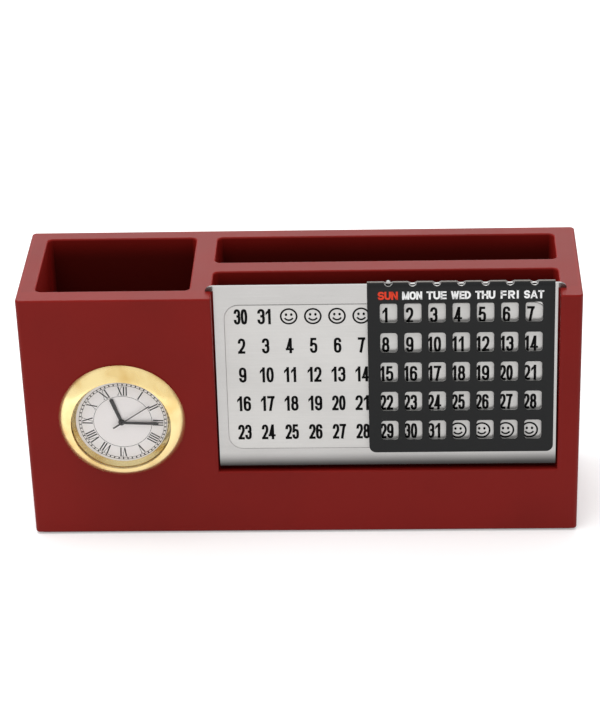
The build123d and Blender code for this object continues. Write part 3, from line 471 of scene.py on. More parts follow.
def metal_finish(name, tint, roughness, scale=700, wear=0.08, stretch=(1, 1, 1)):
    """Plain metal with fine marks of its making."""
    finish = Finish(name, metallic=1.0)
    marks = finish.noise(scale, detail=3, stretch=stretch)
    finish.set(
        base_color=finish.mix(marks, shade(tint, 1 - wear), tint),
        roughness=finish.ramp(marks, roughness - wear, roughness + wear),
    )
    finish.bump(marks, 0.05, 0.02 * MM)
    return finish.material


def wheel_finish():
    """Cut brass, black on what stands out of the dial."""
    finish = Finish("wheel_brass", metallic=1.0)
    marks = finish.noise(700)
    brass = finish.mix(marks, (0.72, 0.54, 0.25), (0.80, 0.60, 0.28))
    tip = finish.place().dot(Y_AXIS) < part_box("clock_dial")[0].y
    finish.set(
        base_color=finish.mix(tip, brass, settings().clock.lacquer),
        roughness=finish.ramp(marks, 0.22, 0.36),
    )
    finish.bump(marks, 0.05, 0.02 * MM)
    return finish.material


def steel_plate_finish(name, tint, metal=1.0, coat=0.0):
    """Steel brushed from side to side and smeared, with painted shade and painted reflection
    darkening its bend, ears and crest.
    """
    plate = settings().plate
    finish = Finish(name, metallic=metal, coat_weight=coat, coat_roughness=0.12)
    brushing = finish.noise(2200, detail=4, stretch=(0.02, 1, 1))
    smears = finish.noise(45, detail=3, stretch=(0.6, 1, 1))
    bright = finish.mix(
        finish.ramp(brushing * 0.35 + smears * 0.65, 0, 1, 0.3, 0.7),
        shade(tint, 0.93),
        shade(tint, 1.04),
    )
    place, facing = finish.place(), finish.facing()
    low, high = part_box("calendar_plate")
    height = place.dot(Z_AXIS) - place.dot(X_AXIS) * 0.006  # the painted shade rises to the right
    bend = 1 - finish.ramp(height, 0, 1, low.z + 2.2 * MM, low.z + 8.2 * MM)
    reach = (FILM_HIGH - FILM_LOW).x / 2 + 3.6 * MM
    beside = (place.dot(X_AXIS) - (low.x + high.x) / 2).size() > reach
    flat = facing.dot(front_plane("calendar_plate")[0]) > 0.9
    ears = beside * flat * (place.dot(Z_AXIS) > high.z - 7 * MM)
    crest = finish.ramp(facing.dot(Z_AXIS), 0, 1, 0.3, 0.8)
    # painted shade and painted reflection: darker towards the bottom bend, on the ears and along
    # the crest
    painted_shade = (bend * 0.94 + ears * 0.65 + crest * 0.65).clamped()
    finish.set(
        base_color=finish.mix(painted_shade, bright, shade(tint, 0.05)),
        roughness=finish.ramp(brushing, plate.roughness - 0.05, plate.roughness + 0.05),
    )
    finish.bump(brushing, 0.08, 0.02 * MM)
    return finish.material


def lacquer_finish():
    """Black lacquer with a painted highlight along the fold's crest, over metal that shows where
    it was cut.
    """
    slider = settings().slider
    finish = Finish("black_lacquer", specular_ior_level=0.22)
    normal, point = front_plane("day_slider")
    up = normal.cross(X_AXIS)
    place, facing = finish.place(), finish.facing()
    reach = (SLIDER_HIGH - SLIDER_LOW).x / 2 - MM
    inside = (place.dot(X_AXIS) - middle("day_slider").x).size() < reach
    above_names = place.dot(Z_AXIS) > SLIDER_HIGH.z - 4.2 * MM
    notch_floor = (facing.dot(up) > 0.8) * (place.dot(Z_AXIS) < SLIDER_HIGH.z - MM)
    notch = above_names * inside * (facing.dot(X_AXIS).size() + notch_floor > 0.3)
    sill = (1 - above_names) * (facing.dot(up) > 0.3)
    behind_front = place.dot(normal) - point.dot(normal)
    bare = finish.ramp(behind_front, 0.95, 0, -0.6 * MM, -0.15 * MM)
    cut = (notch * 0.45 + sill * bare).clamped()
    # painted highlight: the fold's crest takes the lighter crest colour
    crest = finish.ramp(facing.dot(Z_AXIS), 0, 1, 0.93, 0.995) * above_names
    speckle = finish.noise(1500, detail=2)
    lacquer = finish.mix(speckle, shade(slider.lacquer, 0.85), shade(slider.lacquer, 1.15))
    finish.set(
        base_color=finish.mix(cut, finish.mix(crest, lacquer, slider.worn), slider.bare_edge),
        metallic=cut,
        roughness=0.42 - cut * 0.12 + speckle * 0.05,
    )
    finish.bump(speckle, 0.08, 0.03 * MM)
    return finish.material


def ink_finish(name, tint):
    """Screen-printed ink."""
    finish = Finish(name, roughness=0.4, specular_ior_level=0.06)
    grain = finish.noise(1800, detail=2)
    finish.set(base_color=finish.mix(grain, shade(tint, 0.9), tint))
    return finish.material


def gold_finish(name="polished_gold", roughness=0.22, light=1.0):
    """Gold plating with soft clouds of darker gold, which stand in both for polishing marks and
    for painted reflections of darker surroundings.
    """
    clock = settings().clock
    finish = Finish(name, metallic=1.0)
    smears = finish.noise(60, detail=3)
    finish.set(
        base_color=finish.mix(
            finish.ramp(smears, 0, 1, 0.45, 0.8),
            shade(clock.gold, light),
            shade(clock.dark_gold, light),
        ),
        roughness=finish.ramp(smears, roughness - 0.05, roughness + 0.08, 0.3, 0.7),
    )
    finish.bump(finish.noise(240, detail=2), 0.03, 0.1 * MM)
    return finish.material


def lens_finish():
    """Thin clear lens: what isn't mirrored goes straight through."""
    finish = Finish("lens_glass", base_color=(1, 1, 1), roughness=0.03)
    clear = finish.node("ShaderNodeBsdfTransparent", {})
    fresnel = finish.node("ShaderNodeFresnel", {}, 1.45)
    blend = finish.node("ShaderNodeMixShader", {}, fresnel * 0.25, clear)
    finish.tree.links.new(finish.shader.outputs[0], blend.socket.node.inputs[2])
    finish.show(blend)
    return finish.material


def enamel_finish():
    """Printed dial: pale, with faint clouds."""
    dial = settings().clock.dial
    finish = Finish("dial_enamel")
    clouds = finish.noise(120, detail=3)
    finish.set(
        base_color=finish.mix(clouds, shade(dial, 0.965), dial),
        roughness=finish.ramp(clouds, 0.38, 0.5),
    )
    return finish.material


def plastic_finish(name, tint, roughness=0.4, scale=1200):
    """Moulded plastic with a fine texture."""
    finish = Finish(name)
    texture = finish.noise(scale, detail=3)
    finish.set(
        base_color=finish.mix(texture, shade(tint, 0.88), tint),
        roughness=finish.ramp(texture, roughness, roughness + 0.12),
    )
    finish.bump(texture, 0.12, 0.04 * MM)
    return finish.material


# ---- Pen for prints ------------------------------------------------------------------


class Pen:
    """Draws flat strokes on the XY plane, as a broad pen does."""

    def __init__(self, width):
        self.mesh = bmesh.new()
        self.width = width
        self.edge = None
        self.at = Vector()
        self.heading = 0.0

    def direction(self, turn=0.0):
        way = math.radians(self.heading + turn)
        return Vector((math.cos(way), math.sin(way), 0))

    def nib(self, at, across):
        """The edge that a stroke starts from."""
        return self.mesh.edges.new([self.mesh.verts.new(at + across * s) for s in (-0.5, 0.5)])

    def push(self, edge, step):
        """Draws an edge along by a step and returns the edge that it ends at."""
        made = bmesh.ops.extrude_edge_only(self.mesh, edges=[edge])["geom"]
        corners = [part for part in made if isinstance(part, bmesh.types.BMVert)]
        bmesh.ops.translate(self.mesh, verts=corners, vec=step)
        edges = (part for part in made if isinstance(part, bmesh.types.BMEdge))
        return next(edge for edge in edges if set(edge.verts) == set(corners))

    def stroke(self, start, end, across):
        """Straight stroke between two points, both ends cut along the same direction."""
        begin = Vector((*start, 0))
        self.push(self.nib(begin, Vector((*across, 0))), Vector((*end, 0)) - begin)

    def start(self, x, y, heading):
        """Sets the pen down."""
        self.at, self.heading = Vector((x, y, 0)), heading
        self.edge = self.nib(self.at, self.direction(UP) * self.width)
        return self

    def go(self, distance):
        """Straight on."""
        step = self.direction() * distance
        self.edge = self.push(self.edge, step)
        self.at += step
        return self

    def turn(self, radius, degrees):
        """Round an arc, to the left where the degrees are positive."""
        centre = self.at + self.direction(math.copysign(UP, degrees)) * radius
        made = bmesh.ops.spin(
            self.mesh,
            geom=[self.edge, *self.edge.verts],
            cent=centre,
            axis=Z_AXIS,
            angle=math.radians(degrees),
            steps=max(2, round(abs(degrees) / SMOOTH_TURN)),
            use_merge=abs(degrees) == 360,
            use_duplicate=False,
        )
        if abs(degrees) < 360:
            self.edge = next(g for g in made["geom_last"] if isinstance(g, bmesh.types.BMEdge))
        self.heading += degrees
        self.at = (self.edge.verts[0].co + self.edge.verts[1].co) / 2
        return self

    def arch(self, width, height, side=-1):
        """Half an oval with slightly round flanks: ahead, over to a side, and back."""
        flank = math.radians(FLANK_TURN)
        sine, cosine = math.sin(flank), math.cos(flank)
        scale = sine * cosine - (1 - sine) * (1 - cosine)
        large = (height * cosine - (1 - sine) * width / 2) / scale
        small = (sine * width / 2 - (1 - cosine) * height) / scale
        self.turn(large, side * FLANK_TURN).turn(small, side * (180 - 2 * FLANK_TURN))
        return self.turn(large, side * FLANK_TURN)

    def to(self, x, y):
        """Straight to a point."""
        target = Vector((x, y, 0))
        step = target - self.at
        self.edge = self.push(self.edge, step)
        self.at = target

    def ring(self, x, y, radius):
        """Closed circle."""
        self.start(x - radius, y, UP).turn(radius, -360)

    def dot(self, x, y, radius, stretch=1.0):
        """Filled round spot."""
        place = Matrix.Translation((x, y, 0)) @ Matrix.Diagonal((1, stretch, 1, 1))
        bmesh.ops.create_circle(self.mesh, cap_ends=True, segments=16, radius=radius, matrix=place)

    def stamp(self, draw, place):
        """Draws something at the origin, then moves it to its place."""
        before = set(self.mesh.verts)
        draw(self)
        new = [v for v in self.mesh.verts if v not in before]
        bmesh.ops.transform(self.mesh, matrix=place, verts=new)

    def ink(self, name, place, height, material, body):
        """Gives the strokes their thickness, puts them in place and makes them a piece."""
        mesh = self.mesh
        bmesh.ops.remove_doubles(mesh, verts=mesh.verts[:], dist=WELD)
        mesh.normal_update()
        bmesh.ops.reverse_faces(mesh, faces=[f for f in mesh.faces if f.normal.z < 0])
        bmesh.ops.solidify(mesh, geom=mesh.faces[:], thickness=height)
        lift = height - max(v.co.z for v in mesh.verts)
        bmesh.ops.translate(mesh, verts=mesh.verts[:], vec=(0, 0, lift))
        bmesh.ops.recalc_face_normals(mesh, faces=mesh.faces[:])
        bmesh.ops.transform(mesh, matrix=place, verts=mesh.verts[:])
        add_piece(mesh, name, material, body)


def add_piece(mesh, name, material, body):
    """Makes a mesh a piece of the object, riding on a body."""
    data = bpy.data.meshes.new(name)
    mesh.to_mesh(data)
    mesh.free()
    data.materials.append(material)
    piece = bpy.data.objects.new(name, data)
    bpy.context.scene.collection.objects.link(piece)
    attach(piece, body)


# ---- Digits and letters. w and h are the box of the strokes' middle lines. -----------


def draw_one(pen, w, h):
    half = pen.width / 2
    pen.stroke((0.72 * w, -half), (0.72 * w, h + half), (pen.width, 0))
    pen.stroke((0.72 * w, h - 0.02 * w), (-0.18 * w, 0.7 * h), (0, 1.15 * pen.width))


def draw_two(pen, w, h):
    half = pen.width / 2
    pen.start(0, 0.7 * h, UP).arch(w, 0.3 * h).turn(1.7 * w, -32).to(0.04 * w, 0)
    pen.stroke((-half, 0), (w + 0.8 * half, 0), (0, pen.width))


def draw_three(pen, w, h):
    waist, bend = 0.53 * h, 0.36 * w
    pen.start(0.02 * w, 0.74 * h, UP).arch(0.96 * w, 0.26 * h)
    pen.go(0.74 * h - waist - bend).turn(bend, -90).go(0.25 * w)
    pen.start(0.35 * w, waist, RIGHT).go(0.65 * w - bend).turn(bend, -90)
    pen.go(waist - bend - 0.28 * h).arch(w, 0.28 * h)


def draw_four(pen, w, h):
    half = pen.width / 2
    stem, bar = 0.7 * w, 0.22 * h
    pen.stroke((stem, -half), (stem, h + half), (pen.width, 0))
    pen.stroke((-1.2 * half, bar), (w + 1.2 * half, bar), (0, 0.85 * pen.width))
    pen.stroke((0, bar), (stem - 0.02 * w, h + half), (0.9 * pen.width, 0))


def draw_five(pen, w, h):
    half, shoulder = pen.width / 2, 0.43 * h
    pen.stroke((0.12 * w, h), (w + 0.3 * half, h), (0, pen.width))
    pen.stroke((0.15 * w, h + half), (0, shoulder), (0.95 * pen.width, 0))
    pen.start(0, shoulder, UP).arch(w, 0.2 * h).go(shoulder - 0.28 * h).arch(w, 0.28 * h)


def draw_six(pen, w, h):
    pen.start(w, 0.74 * h, UP).arch(w, 0.26 * h, 1).go(0.46 * h).arch(w, 0.28 * h, 1)
    pen.go(0.06 * h).arch(w, 0.26 * h, 1)


def draw_seven(pen, w, h):
    half = pen.width / 2
    pen.stroke((-half, h), (w + half, h), (0, pen.width))
    pen.start(0.95 * w, h, -116).turn(3 * w, 16).to(0.28 * w, -half)


def draw_eight(pen, w, h):
    waist, lean = 0.53 * h, 0.07 * w
    pen.start(0, waist / 2, UP).arch(w, waist / 2).arch(w, waist / 2)
    pen.start(lean, (h + waist) / 2, UP)
    pen.arch(w - 2 * lean, (h - waist) / 2).arch(w - 2 * lean, (h - waist) / 2)


def draw_nine(pen, w, h):
    upside_down = Matrix.Translation((w, h, 0)) @ Matrix.Rotation(math.pi, 4, "Z")
    pen.stamp(lambda p: draw_six(p, w, h), upside_down)


DIGITS = {
    "0": lambda pen, w, h: pen.start(0, h / 2, UP).arch(w, h / 2).arch(w, h / 2),
    "1": draw_one,
    "2": draw_two,
    "3": draw_three,
    "4": draw_four,
    "5": draw_five,
    "6": draw_six,
    "7": draw_seven,
    "8": draw_eight,
    "9": draw_nine,
}
NARROW_ONE = 0.86  # width of a 1, as a share of another digit's
NARROW_PAIR = 0.84  # width of the digits in a date of two wide ones


def draw_posts(pen, w, h, *places):
    """Upright strokes over the full height at shares of the width."""
    half = pen.width / 2
    for place in places:
        pen.stroke((place * w, -half), (place * w, h + half), (pen.width, 0))


def draw_bars(pen, w, h, *places):
    """Level strokes from the left at shares of the height."""
    half = pen.width / 2
    for place in places:
        pen.stroke((-half, place * h), (w + half, place * h), (0, 0.86 * pen.width))


def draw_slants(pen, h, *slants):
    """Slanting strokes, each from a foot's x to a head's x."""
    half = pen.width / 2
    for foot, head in slants:
        pen.stroke((foot, -half), (head, h + half), (0.88 * pen.width, 0))


def letter_s(pen, w, h):
    bend = h / 4
    level = w - 2 * bend
    pen.start(w, h - bend, UP).turn(bend, 90).go(level).turn(bend, 180).go(level)
    pen.turn(bend, -180).go(level).turn(bend, -90)


def letter_r(pen, w, h):
    draw_posts(pen, w, h, 0)
    bend = 0.27 * h
    pen.start(0, h, RIGHT).go(w - bend).turn(bend, -180).go(w - bend)
    pen.stroke((0.45 * w, h - 2 * bend), (w, -pen.width / 2), (1.1 * pen.width, 0))


def letter_a(pen, w, h):
    draw_slants(pen, h, (0, w / 2), (w, w / 2))
    pen.stroke((0.2 * w, 0.24 * h), (0.8 * w, 0.24 * h), (0, 0.8 * pen.width))


def letter_d(pen, w, h):
    draw_posts(pen, w, h, 0)
    pen.start(0, h, RIGHT).go(w - h / 2).turn(h / 2, -180).go(w - h / 2)


def letter_e(pen, w, h):
    draw_posts(pen, w, h, 0)
    draw_bars(pen, w, h, 0, 0.5, 1)


def letter_f(pen, w, h):
    draw_posts(pen, w, h, 0)
    draw_bars(pen, w, h, 0.48, 1)


def letter_h(pen, w, h):
    draw_posts(pen, w, h, 0, 1)
    draw_bars(pen, w, h, 0.5)


def letter_i(pen, w, h):
    draw_posts(pen, w, h, 0)


def letter_m(pen, w, h):
    draw_posts(pen, w, h, 0, 1)
    draw_slants(pen, h, (w / 2, 0), (w / 2, w))


def letter_n(pen, w, h):
    draw_posts(pen, w, h, 0, 1)
    draw_slants(pen, h, (w, 0))


def letter_o(pen, w, h):
    pen.start(0, w / 2, UP)
    for _ in range(2):
        pen.go(h - w).turn(w / 2, -180)


def letter_t(pen, w, h):
    draw_posts(pen, w, h, 0.5)
    draw_bars(pen, w, h, 1)


def letter_u(pen, w, h):
    top = h + pen.width / 2
    pen.start(0, top, DOWN).go(top - w / 2).turn(w / 2, 180).go(top - w / 2)


def letter_w(pen, w, h):
    draw_slants(pen, h, (0.25 * w, 0), (0.25 * w, 0.5 * w), (0.75 * w, 0.5 * w), (0.75 * w, w))


# Widths as shares of the height
LETTERS = {
    "A": (0.72, letter_a),
    "D": (0.62, letter_d),
    "E": (0.46, letter_e),
    "F": (0.44, letter_f),
    "H": (0.55, letter_h),
    "I": (0.0, letter_i),
    "M": (0.72, letter_m),
    "N": (0.56, letter_n),
    "O": (0.62, letter_o),
    "R": (0.55, letter_r),
    "S": (0.52, letter_s),
    "T": (0.52, letter_t),
    "U": (0.55, letter_u),
    "W": (0.95, letter_w),
}


def draw_number(pen, text, plate):
    """A date, centred on the origin."""
    line = plate.digit_line
    w, h = plate.digit_width - line, plate.digit_height - line
    wide = w if len(text) == 1 or "1" in text else w * NARROW_PAIR
    widths = [w * NARROW_ONE if c == "1" else wide for c in text]
    total = sum(widths) + (len(text) - 1) * (line + plate.digit_gap)
    x = -total / 2
    for character, wide in zip(text, widths):
        pen.stamp(lambda p: DIGITS[character](p, wide, h), Matrix.Translation((x, -h / 2, 0)))
        x += wide + line + plate.digit_gap


def draw_face(pen, plate):
    """A smiling face, centred on the origin."""
    radius = (plate.face_diameter - plate.face_line) / 2
    pen.ring(0, 0, radius)
    for side in (-1, 1):
        pen.dot(side * 0.33 * radius, 0.24 * radius, 0.16 * radius, stretch=1.2)
    smile, reach = 0.58 * radius, 62  # radius of the mouth, and degrees to each side of its middle
    start = math.radians(-90 - reach)
    pen.start(smile * math.cos(start), smile * math.sin(start) + 0.06 * radius, -reach)
    pen.turn(smile, 2 * reach)


def draw_name(pen, name, slider):
    """A day's name, centred on the origin."""
    line = slider.letter_line
    h = slider.letter_height - line
    gaps, least_gap = len(name) - 1, 0.12 * line
    free = slider.name_width - len(name) * line - gaps * least_gap
    widths = [LETTERS[c][0] * slider.letter_height for c in name]
    widths = [wide * min(1, free / sum(widths)) for wide in widths]
    gap = min(slider.letter_gap, least_gap + (free - sum(widths)) / gaps)
    x = line / 2 - (sum(widths) + len(name) * line + gaps * gap) / 2
    for character, wide in zip(name, widths):
        pen.stamp(lambda p: LETTERS[character][1](p, wide, h), Matrix.Translation((x, -h / 2, 0)))
        x += wide + line + gap


NUMERAL_WIDTHS = {"I": 0.88 * MM, "V": 1.75 * MM, "X": 1.85 * MM}
NUMERAL_SERIF = 0.24 * MM  # from the middle of a stroke's foot
NUMERAL_GAP = 0.06 * MM


def draw_numeral(pen, text, clock):
    """A Roman numeral on its foot line, centred, with thin and thick strokes and serifs."""
    h, stem, thin = clock.numeral_height, clock.numeral_stem, clock.numeral_thin
    serif, gap = NUMERAL_SERIF, NUMERAL_GAP
    total = sum(NUMERAL_WIDTHS[c] for c in text) + gap * (len(text) - 1)
    x = -total / 2
    for character in text:
        wide = NUMERAL_WIDTHS[character]
        left, right, centre = x + serif, x + wide - serif, x + wide / 2
        strokes, feet = {
            "I": ([(centre, centre, stem)], [(centre, 0), (centre, h)]),
            "V": ([(centre, left, stem), (centre, right, thin)], [(left, h), (right, h)]),
            "X": (
                [(right, left, stem), (left, right, thin)],
                [(left, 0), (right, 0), (left, h), (right, h)],
            ),
        }[character]
        for foot, head, broad in strokes:
            pen.stroke((foot, 0), (head, h), (broad, 0))
        for place, level in feet:
            inward = thin / 2 if level == 0 else -thin / 2
            reach = serif + stem / 4
            pen.stroke((place - reach, level + inward), (place + reach, level + inward), (0, thin))
        x += wide + gap


# ---- Operators -----------------------------------------------------------------------


class ORGANISER_OT_paint_body(bpy.types.Operator):
    """Paints the wooden boards and finishes the felt and the screws under the base"""

    bl_idname = "organiser.paint_body"
    bl_label = "Paint the body"

    def execute(self, context):
        dress(
            paint_finish(),
            "base_board",
            "front_board",
            "back_board",
            "left_end_board",
            "right_end_board",
            "pen_divider",
            "slot_wall",
            "slot_floor",
        )
        dress(felt_finish(), "base_felt")
        steel = metal_finish("screw_steel", (0.55, 0.55, 0.54), 0.35)
        dress(steel, "base_screws", "plate_screws", "movement_screws")
        return {"FINISHED"}


class ORGANISER_OT_finish_calendar(bpy.types.Operator):
    """Finishes the steel plate, its film and the slider"""

    bl_idname = "organiser.finish_calendar"
    bl_label = "Finish the calendar"

    def execute(self, context):
        plate = settings().plate
        dress(steel_plate_finish("brushed_plate", plate.steel), "calendar_plate")
        dress(steel_plate_finish("clear_film", plate.film, metal=0.3, coat=0.2), "date_film")
        dress(lacquer_finish(), "day_slider")
        return {"FINISHED"}


class ORGANISER_OT_print_dates(bpy.types.Operator):
    """Prints the dates and the faces on the film, and draws the film's visible edge"""

    bl_idname = "organiser.print_dates"
    bl_label = "Print the dates"

    def execute(self, context):
        plate = settings().plate
        place = drawing_place("date_film", middle("date_film").x, middle("date_film").z)
        numbers, faces = Pen(plate.digit_line), Pen(plate.face_line)
        for row in range(DATE_ROWS):
            y = plate.rows_rise + ((DATE_ROWS - 1) / 2 - row) * plate.row_pitch
            for column in range(DATE_COLUMNS):
                x = (column - (DATE_COLUMNS - 1) / 2) * COLUMN_PITCH - plate.rows_shift
                spot = Matrix.Translation((x, y, 0))
                date = date_at(row, column)
                if date == FACE:
                    faces.stamp(lambda pen: draw_face(pen, plate), spot)
                else:
                    numbers.stamp(lambda pen: draw_number(pen, date, plate), spot)
        ink = ink_finish("date_ink", plate.ink)
        numbers.ink("date_numbers", place, plate.ink_height, ink, "housing")
        faces.ink("smiling_faces", place, plate.ink_height, ink, "housing")
        edge = Pen(plate.film_line)
        bend = plate.film_radius
        size = FILM_HIGH - FILM_LOW
        wide, tall = size.x - plate.film_line, size.z / place.col[1].z - plate.film_line
        edge.start(-wide / 2, bend - tall / 2, UP)
        for side in (tall, wide, tall, wide):
            edge.go(side - 2 * bend).turn(bend, -90)
        line = ink_finish("film_edge", (0.30, 0.295, 0.285))
        edge.ink("film_edge", place, plate.ink_height, line, "housing")
        return {"FINISHED"}


def date_at(row, column):
    """What the film shows in a cell: the week that the row holds starts seven columns in."""
    day = row * WEEK + column - (DATE_COLUMNS - WEEK) + 1
    if row == 0 and column < 2:
        return str(LAST_DATE - 1 + column)
    if 1 <= day <= LAST_DATE:
        return str(day)
    return FACE


class ORGANISER_OT_print_days(bpy.types.Operator):
    """Prints the names of the days on the slider"""

    bl_idname = "organiser.print_days"
    bl_label = "Print the days"

    def execute(self, context):
        slider = settings().slider
        place = drawing_place("day_slider", SLIDER_LOW.x + slider.first_column, SLIDER_LOW.z)
        inks = (
            ("sunday_name", ink_finish("sunday_ink", slider.sunday), DAYS[:1]),
            ("weekday_names", ink_finish("weekday_ink", slider.weekday), DAYS[1:]),
        )
        for piece, ink, names in inks:
            pen = Pen(slider.letter_line)
            for name in names:
                x = DAYS.index(name) * COLUMN_PITCH - slider.names_shift
                spot = Matrix.Translation((x, slider.names_rise, 0))
                pen.stamp(lambda p: draw_name(p, name, slider), spot)
            pen.ink(piece, place, settings().plate.ink_height, ink, "slider")
        return {"FINISHED"}


class ORGANISER_OT_finish_clock(bpy.types.Operator):
    """Finishes the clock's bezel, lens, dial, hands and case"""

    bl_idname = "organiser.finish_clock"
    bl_label = "Finish the clock"

    def execute(self, context):
        clock = settings().clock
        dress(gold_finish(), "clock_bezel")
        dress(gold_finish("spacer_gold", 0.12, light=0.72), "spacer_ring")
        dress(lens_finish(), "clock_lens")
        dress(enamel_finish(), "clock_dial")
        hands = plastic_finish("hand_lacquer", clock.lacquer, 0.35)
        dress(hands, "hour_hand", "minute_hand", "second_hand")
        dress(plastic_finish("case_plastic", (0.03, 0.03, 0.03)), "clock_case", "battery_cover")
        dress(plastic_finish("grip_rubber", (0.02, 0.02, 0.02), 0.75, 2500), "grip_ring")
        return {"FINISHED"}


class ORGANISER_OT_print_dial(bpy.types.Operator):
    """Prints the minute track, the thin circle and the numerals on the dial"""

    bl_idname = "organiser.print_dial"
    bl_label = "Print the dial"

    def execute(self, context):
        clock = settings().clock
        height = settings().plate.ink_height
        place = drawing_place("clock_dial", DIAL_MIDDLE.x + clock.print_shift, DIAL_MIDDLE.z)
        place @= Matrix.Rotation(-clock.print_turn, 4, "Z")
        ink = ink_finish("dial_ink", clock.ink)
        track = Pen(clock.line)
        for radius in (clock.circle, clock.track_inner, clock.track_outer):
            track.ring(0, 0, radius)
        track.width = clock.track_outer - clock.track_inner
        along = (clock.track_outer + clock.track_inner) / 2
        step = 360 / clock.minutes
        block = step / 4
        for minute in range(clock.minutes):
            spot = Matrix.Rotation(math.radians(minute * step - block / 2), 4, "Z")
            track.stamp(lambda pen: pen.start(0, along, 180).turn(along, block), spot)
        track.ink("minute_track", place, height, ink, "housing")
        numerals = Pen(clock.numeral_stem)
        for hour, text in enumerate(NUMERALS):
            spin = Matrix.Rotation(-math.tau * hour / len(NUMERALS), 4, "Z")
            spot = spin @ Matrix.Translation((0, clock.numeral_foot, 0))
            numerals.stamp(lambda pen: draw_numeral(pen, text, clock), spot)
        numerals.ink("hour_numerals", place, height, ink, "housing")
        return {"FINISHED"}


class ORGANISER_OT_finish_movement(bpy.types.Operator):
    """Finishes the clock's movement and battery"""

    bl_idname = "organiser.finish_movement"
    bl_label = "Finish the movement"

    def execute(self, context):
        dress(
            plastic_finish("movement_plastic", (0.55, 0.54, 0.50)),
            "movement_front_plate",
            "movement_back_plate",
        )
        dress(
            wheel_finish(),
            "hour_wheel",
            "cannon_pinion",
            "minute_wheel",
            "centre_wheel",
            "third_wheel",
            "second_wheel",
        )
        dress(plastic_finish("step_nylon", (0.75, 0.74, 0.70)), "step_wheel", "setting_knob")
        dress(plastic_finish("rotor_magnet", (0.05, 0.05, 0.055), 0.3), "rotor")
        dress(metal_finish("core_steel", (0.42, 0.42, 0.43), 0.4), "stator", "coil_core")
        dress(metal_finish("coil_wire", (0.72, 0.30, 0.14), 0.3, 6000, 0.15, (0.02, 1, 1)), "coil")
        dress(
            metal_finish("cell_steel", (0.70, 0.70, 0.69), 0.22),
            "button_cell",
            "battery_contact",
            "quartz_crystal",
        )
        dress(plastic_finish("board_green", (0.02, 0.13, 0.05), 0.3), "circuit_board")
        return {"FINISHED"}


class ORGANISER_OT_set_stage(bpy.types.Operator):
    """Lays the floor, hangs the lamps and sets the camera"""

    bl_idname = "organiser.set_stage"
    bl_label = "Set the stage"

    def execute(self, context):
        stage = settings().stage
        scene = context.scene
        scene.view_settings.view_transform = "Standard"
        lay_floor(scene, stage)
        light_sky(scene, stage)
        key = hang_lamp(scene, "key_lamp", at=(-0.3, -0.22, 1.3), size=1.2, power=stage.key)
        key.visible_glossy = False
        hang_lamp(scene, "rear_lamp", at=(0.0, 1.25, 0.8), size=1.0, power=stage.rear)
        data = bpy.data.cameras.new("camera")
        data.lens = stage.lens
        data.clip_end = 20
        camera = bpy.data.objects.new("camera", data)
        scene.collection.objects.link(camera)
        turn = (
            Matrix.Rotation(stage.swing, 4, "Z")
            @ Matrix.Rotation(math.pi / 2 - stage.tilt, 4, "X")
            @ Matrix.Rotation(-stage.roll, 4, "Z")
        )
        camera.matrix_world = Matrix.Translation(stage.camera) @ turn
        scene.camera = camera
        return {"FINISHED"}


def seen_directly(finish):
    """1 for what the camera sees, also in metal and through glass, and 0 for other light."""
    names = ("Is Camera Ray", "Is Glossy Ray", "Is Transmission Ray")
    return sum(finish.node("ShaderNodeLightPath", {}, output=name) for name in names).clamped()


def lay_floor(scene, stage):
    """Pale floor, lifted by a little added white that grows to the background's white."""
    mesh = bmesh.new()
    bmesh.ops.create_grid(mesh, x_segments=1, y_segments=1, size=4.0)
    data = bpy.data.meshes.new("floor")
    mesh.to_mesh(data)
    mesh.free()
    finish = Finish("floor", base_color=stage.floor, roughness=0.6, specular_ior_level=0.2)
    white = finish.node("ShaderNodeEmission", {}, (1, 1, 1), 1.0)
    across, along = (finish.place().dot(axis) for axis in (X_AXIS, Y_AXIS))
    near, far = 0.15, 0.9  # m from the object, between which the white grows
    away = across * across + along * along
    lift = seen_directly(finish) * finish.ramp(away, stage.glow, 1, near**2, far**2)
    plain = Value(finish, finish.shader.outputs[0])
    both = finish.node("ShaderNodeAddShader", {}, plain, white)
    finish.show(finish.node("ShaderNodeMixShader", {}, lift, plain, both))
    data.materials.append(finish.material)
    floor = bpy.data.objects.new("floor", data)
    scene.collection.objects.link(floor)


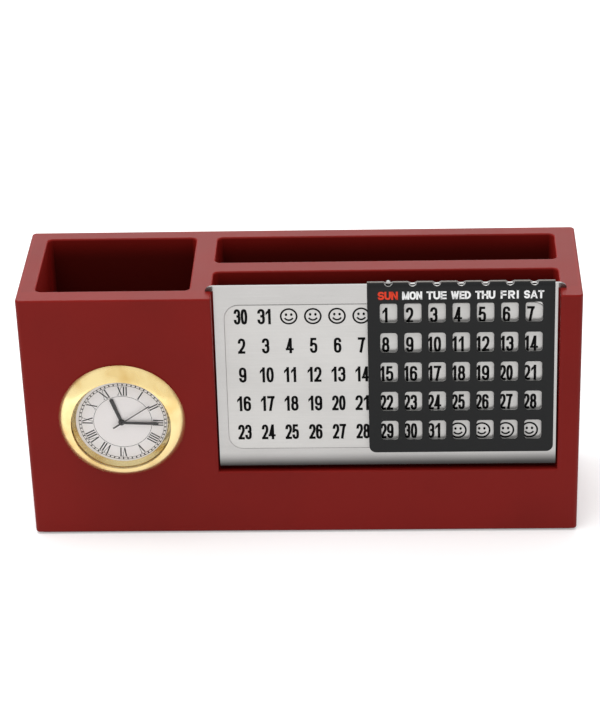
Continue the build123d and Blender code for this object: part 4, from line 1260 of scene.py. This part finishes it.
def light_sky(scene, stage):
    """Even light from all round, white where the camera sees it."""
    world = bpy.data.worlds.new("sky")
    world.use_nodes = True
    tree = world.node_tree
    lights = tree.nodes["Background"]
    lights.inputs["Color"].default_value = (1, 1, 1, 1)
    lights.inputs["Strength"].default_value = stage.sky
    seen = tree.nodes.new("ShaderNodeBackground")
    seen.inputs["Color"].default_value = (1, 1, 1, 1)
    seen.inputs["Strength"].default_value = 1.0
    paths = tree.nodes.new("ShaderNodeLightPath")
    both = tree.nodes.new("ShaderNodeMath")
    both.operation = "MAXIMUM"
    tree.links.new(paths.outputs["Is Camera Ray"], both.inputs[0])
    tree.links.new(paths.outputs["Is Glossy Ray"], both.inputs[1])
    pick = tree.nodes.new("ShaderNodeMixShader")
    tree.links.new(both.outputs[0], pick.inputs[0])
    tree.links.new(lights.outputs[0], pick.inputs[1])
    tree.links.new(seen.outputs[0], pick.inputs[2])
    tree.links.new(pick.outputs[0], tree.nodes["World Output"].inputs["Surface"])
    scene.world = world


def hang_lamp(scene, name, at, size, power):
    """Square soft lamp that faces the object."""
    data = bpy.data.lights.new(name, "AREA")
    data.shape = "SQUARE"
    data.size = size
    data.energy = power
    lamp = bpy.data.objects.new(name, data)
    lamp.location = at
    aim = Vector((0, 0, 0.05))  # about the middle of the object
    lamp.rotation_euler = (aim - Vector(at)).to_track_quat("-Z", "Y").to_euler()
    scene.collection.objects.link(lamp)
    return lamp


STEPS = (
    ORGANISER_OT_set_stage,
    ORGANISER_OT_paint_body,
    ORGANISER_OT_finish_calendar,
    ORGANISER_OT_print_dates,
    ORGANISER_OT_print_days,
    ORGANISER_OT_finish_clock,
    ORGANISER_OT_print_dial,
    ORGANISER_OT_finish_movement,
)


class ORGANISER_PT_panel(bpy.types.Panel):
    """Lists the steps and the settings of the organiser"""

    bl_idname = "ORGANISER_PT_panel"
    bl_label = "Desk organiser"
    bl_space_type = "VIEW_3D"
    bl_region_type = "UI"
    bl_category = "Organiser"

    def draw(self, context):
        for step in STEPS:
            self.layout.operator(step.bl_idname)
        for group in ("body", "plate", "slider", "clock", "stage"):
            values = getattr(context.scene.organiser, group)
            box = self.layout.box()
            box.label(text=group.title())
            for name in values.__annotations__:
                box.prop(values, name)


CLASSES = (
    BodySettings,
    PlateSettings,
    SliderSettings,
    ClockSettings,
    StageSettings,
    OrganiserSettings,
    *STEPS,
    ORGANISER_PT_panel,
)


def register():
    for each in CLASSES:
        bpy.utils.register_class(each)
    bpy.types.Scene.organiser = PointerProperty(type=OrganiserSettings)


def unregister():
    del bpy.types.Scene.organiser
    for each in reversed(CLASSES):
        bpy.utils.unregister_class(each)


def main():
    register()
    for step in STEPS:
        group, name = step.bl_idname.split(".")
        getattr(getattr(bpy.ops, group), name)()


if __name__ == "__main__":
    main()
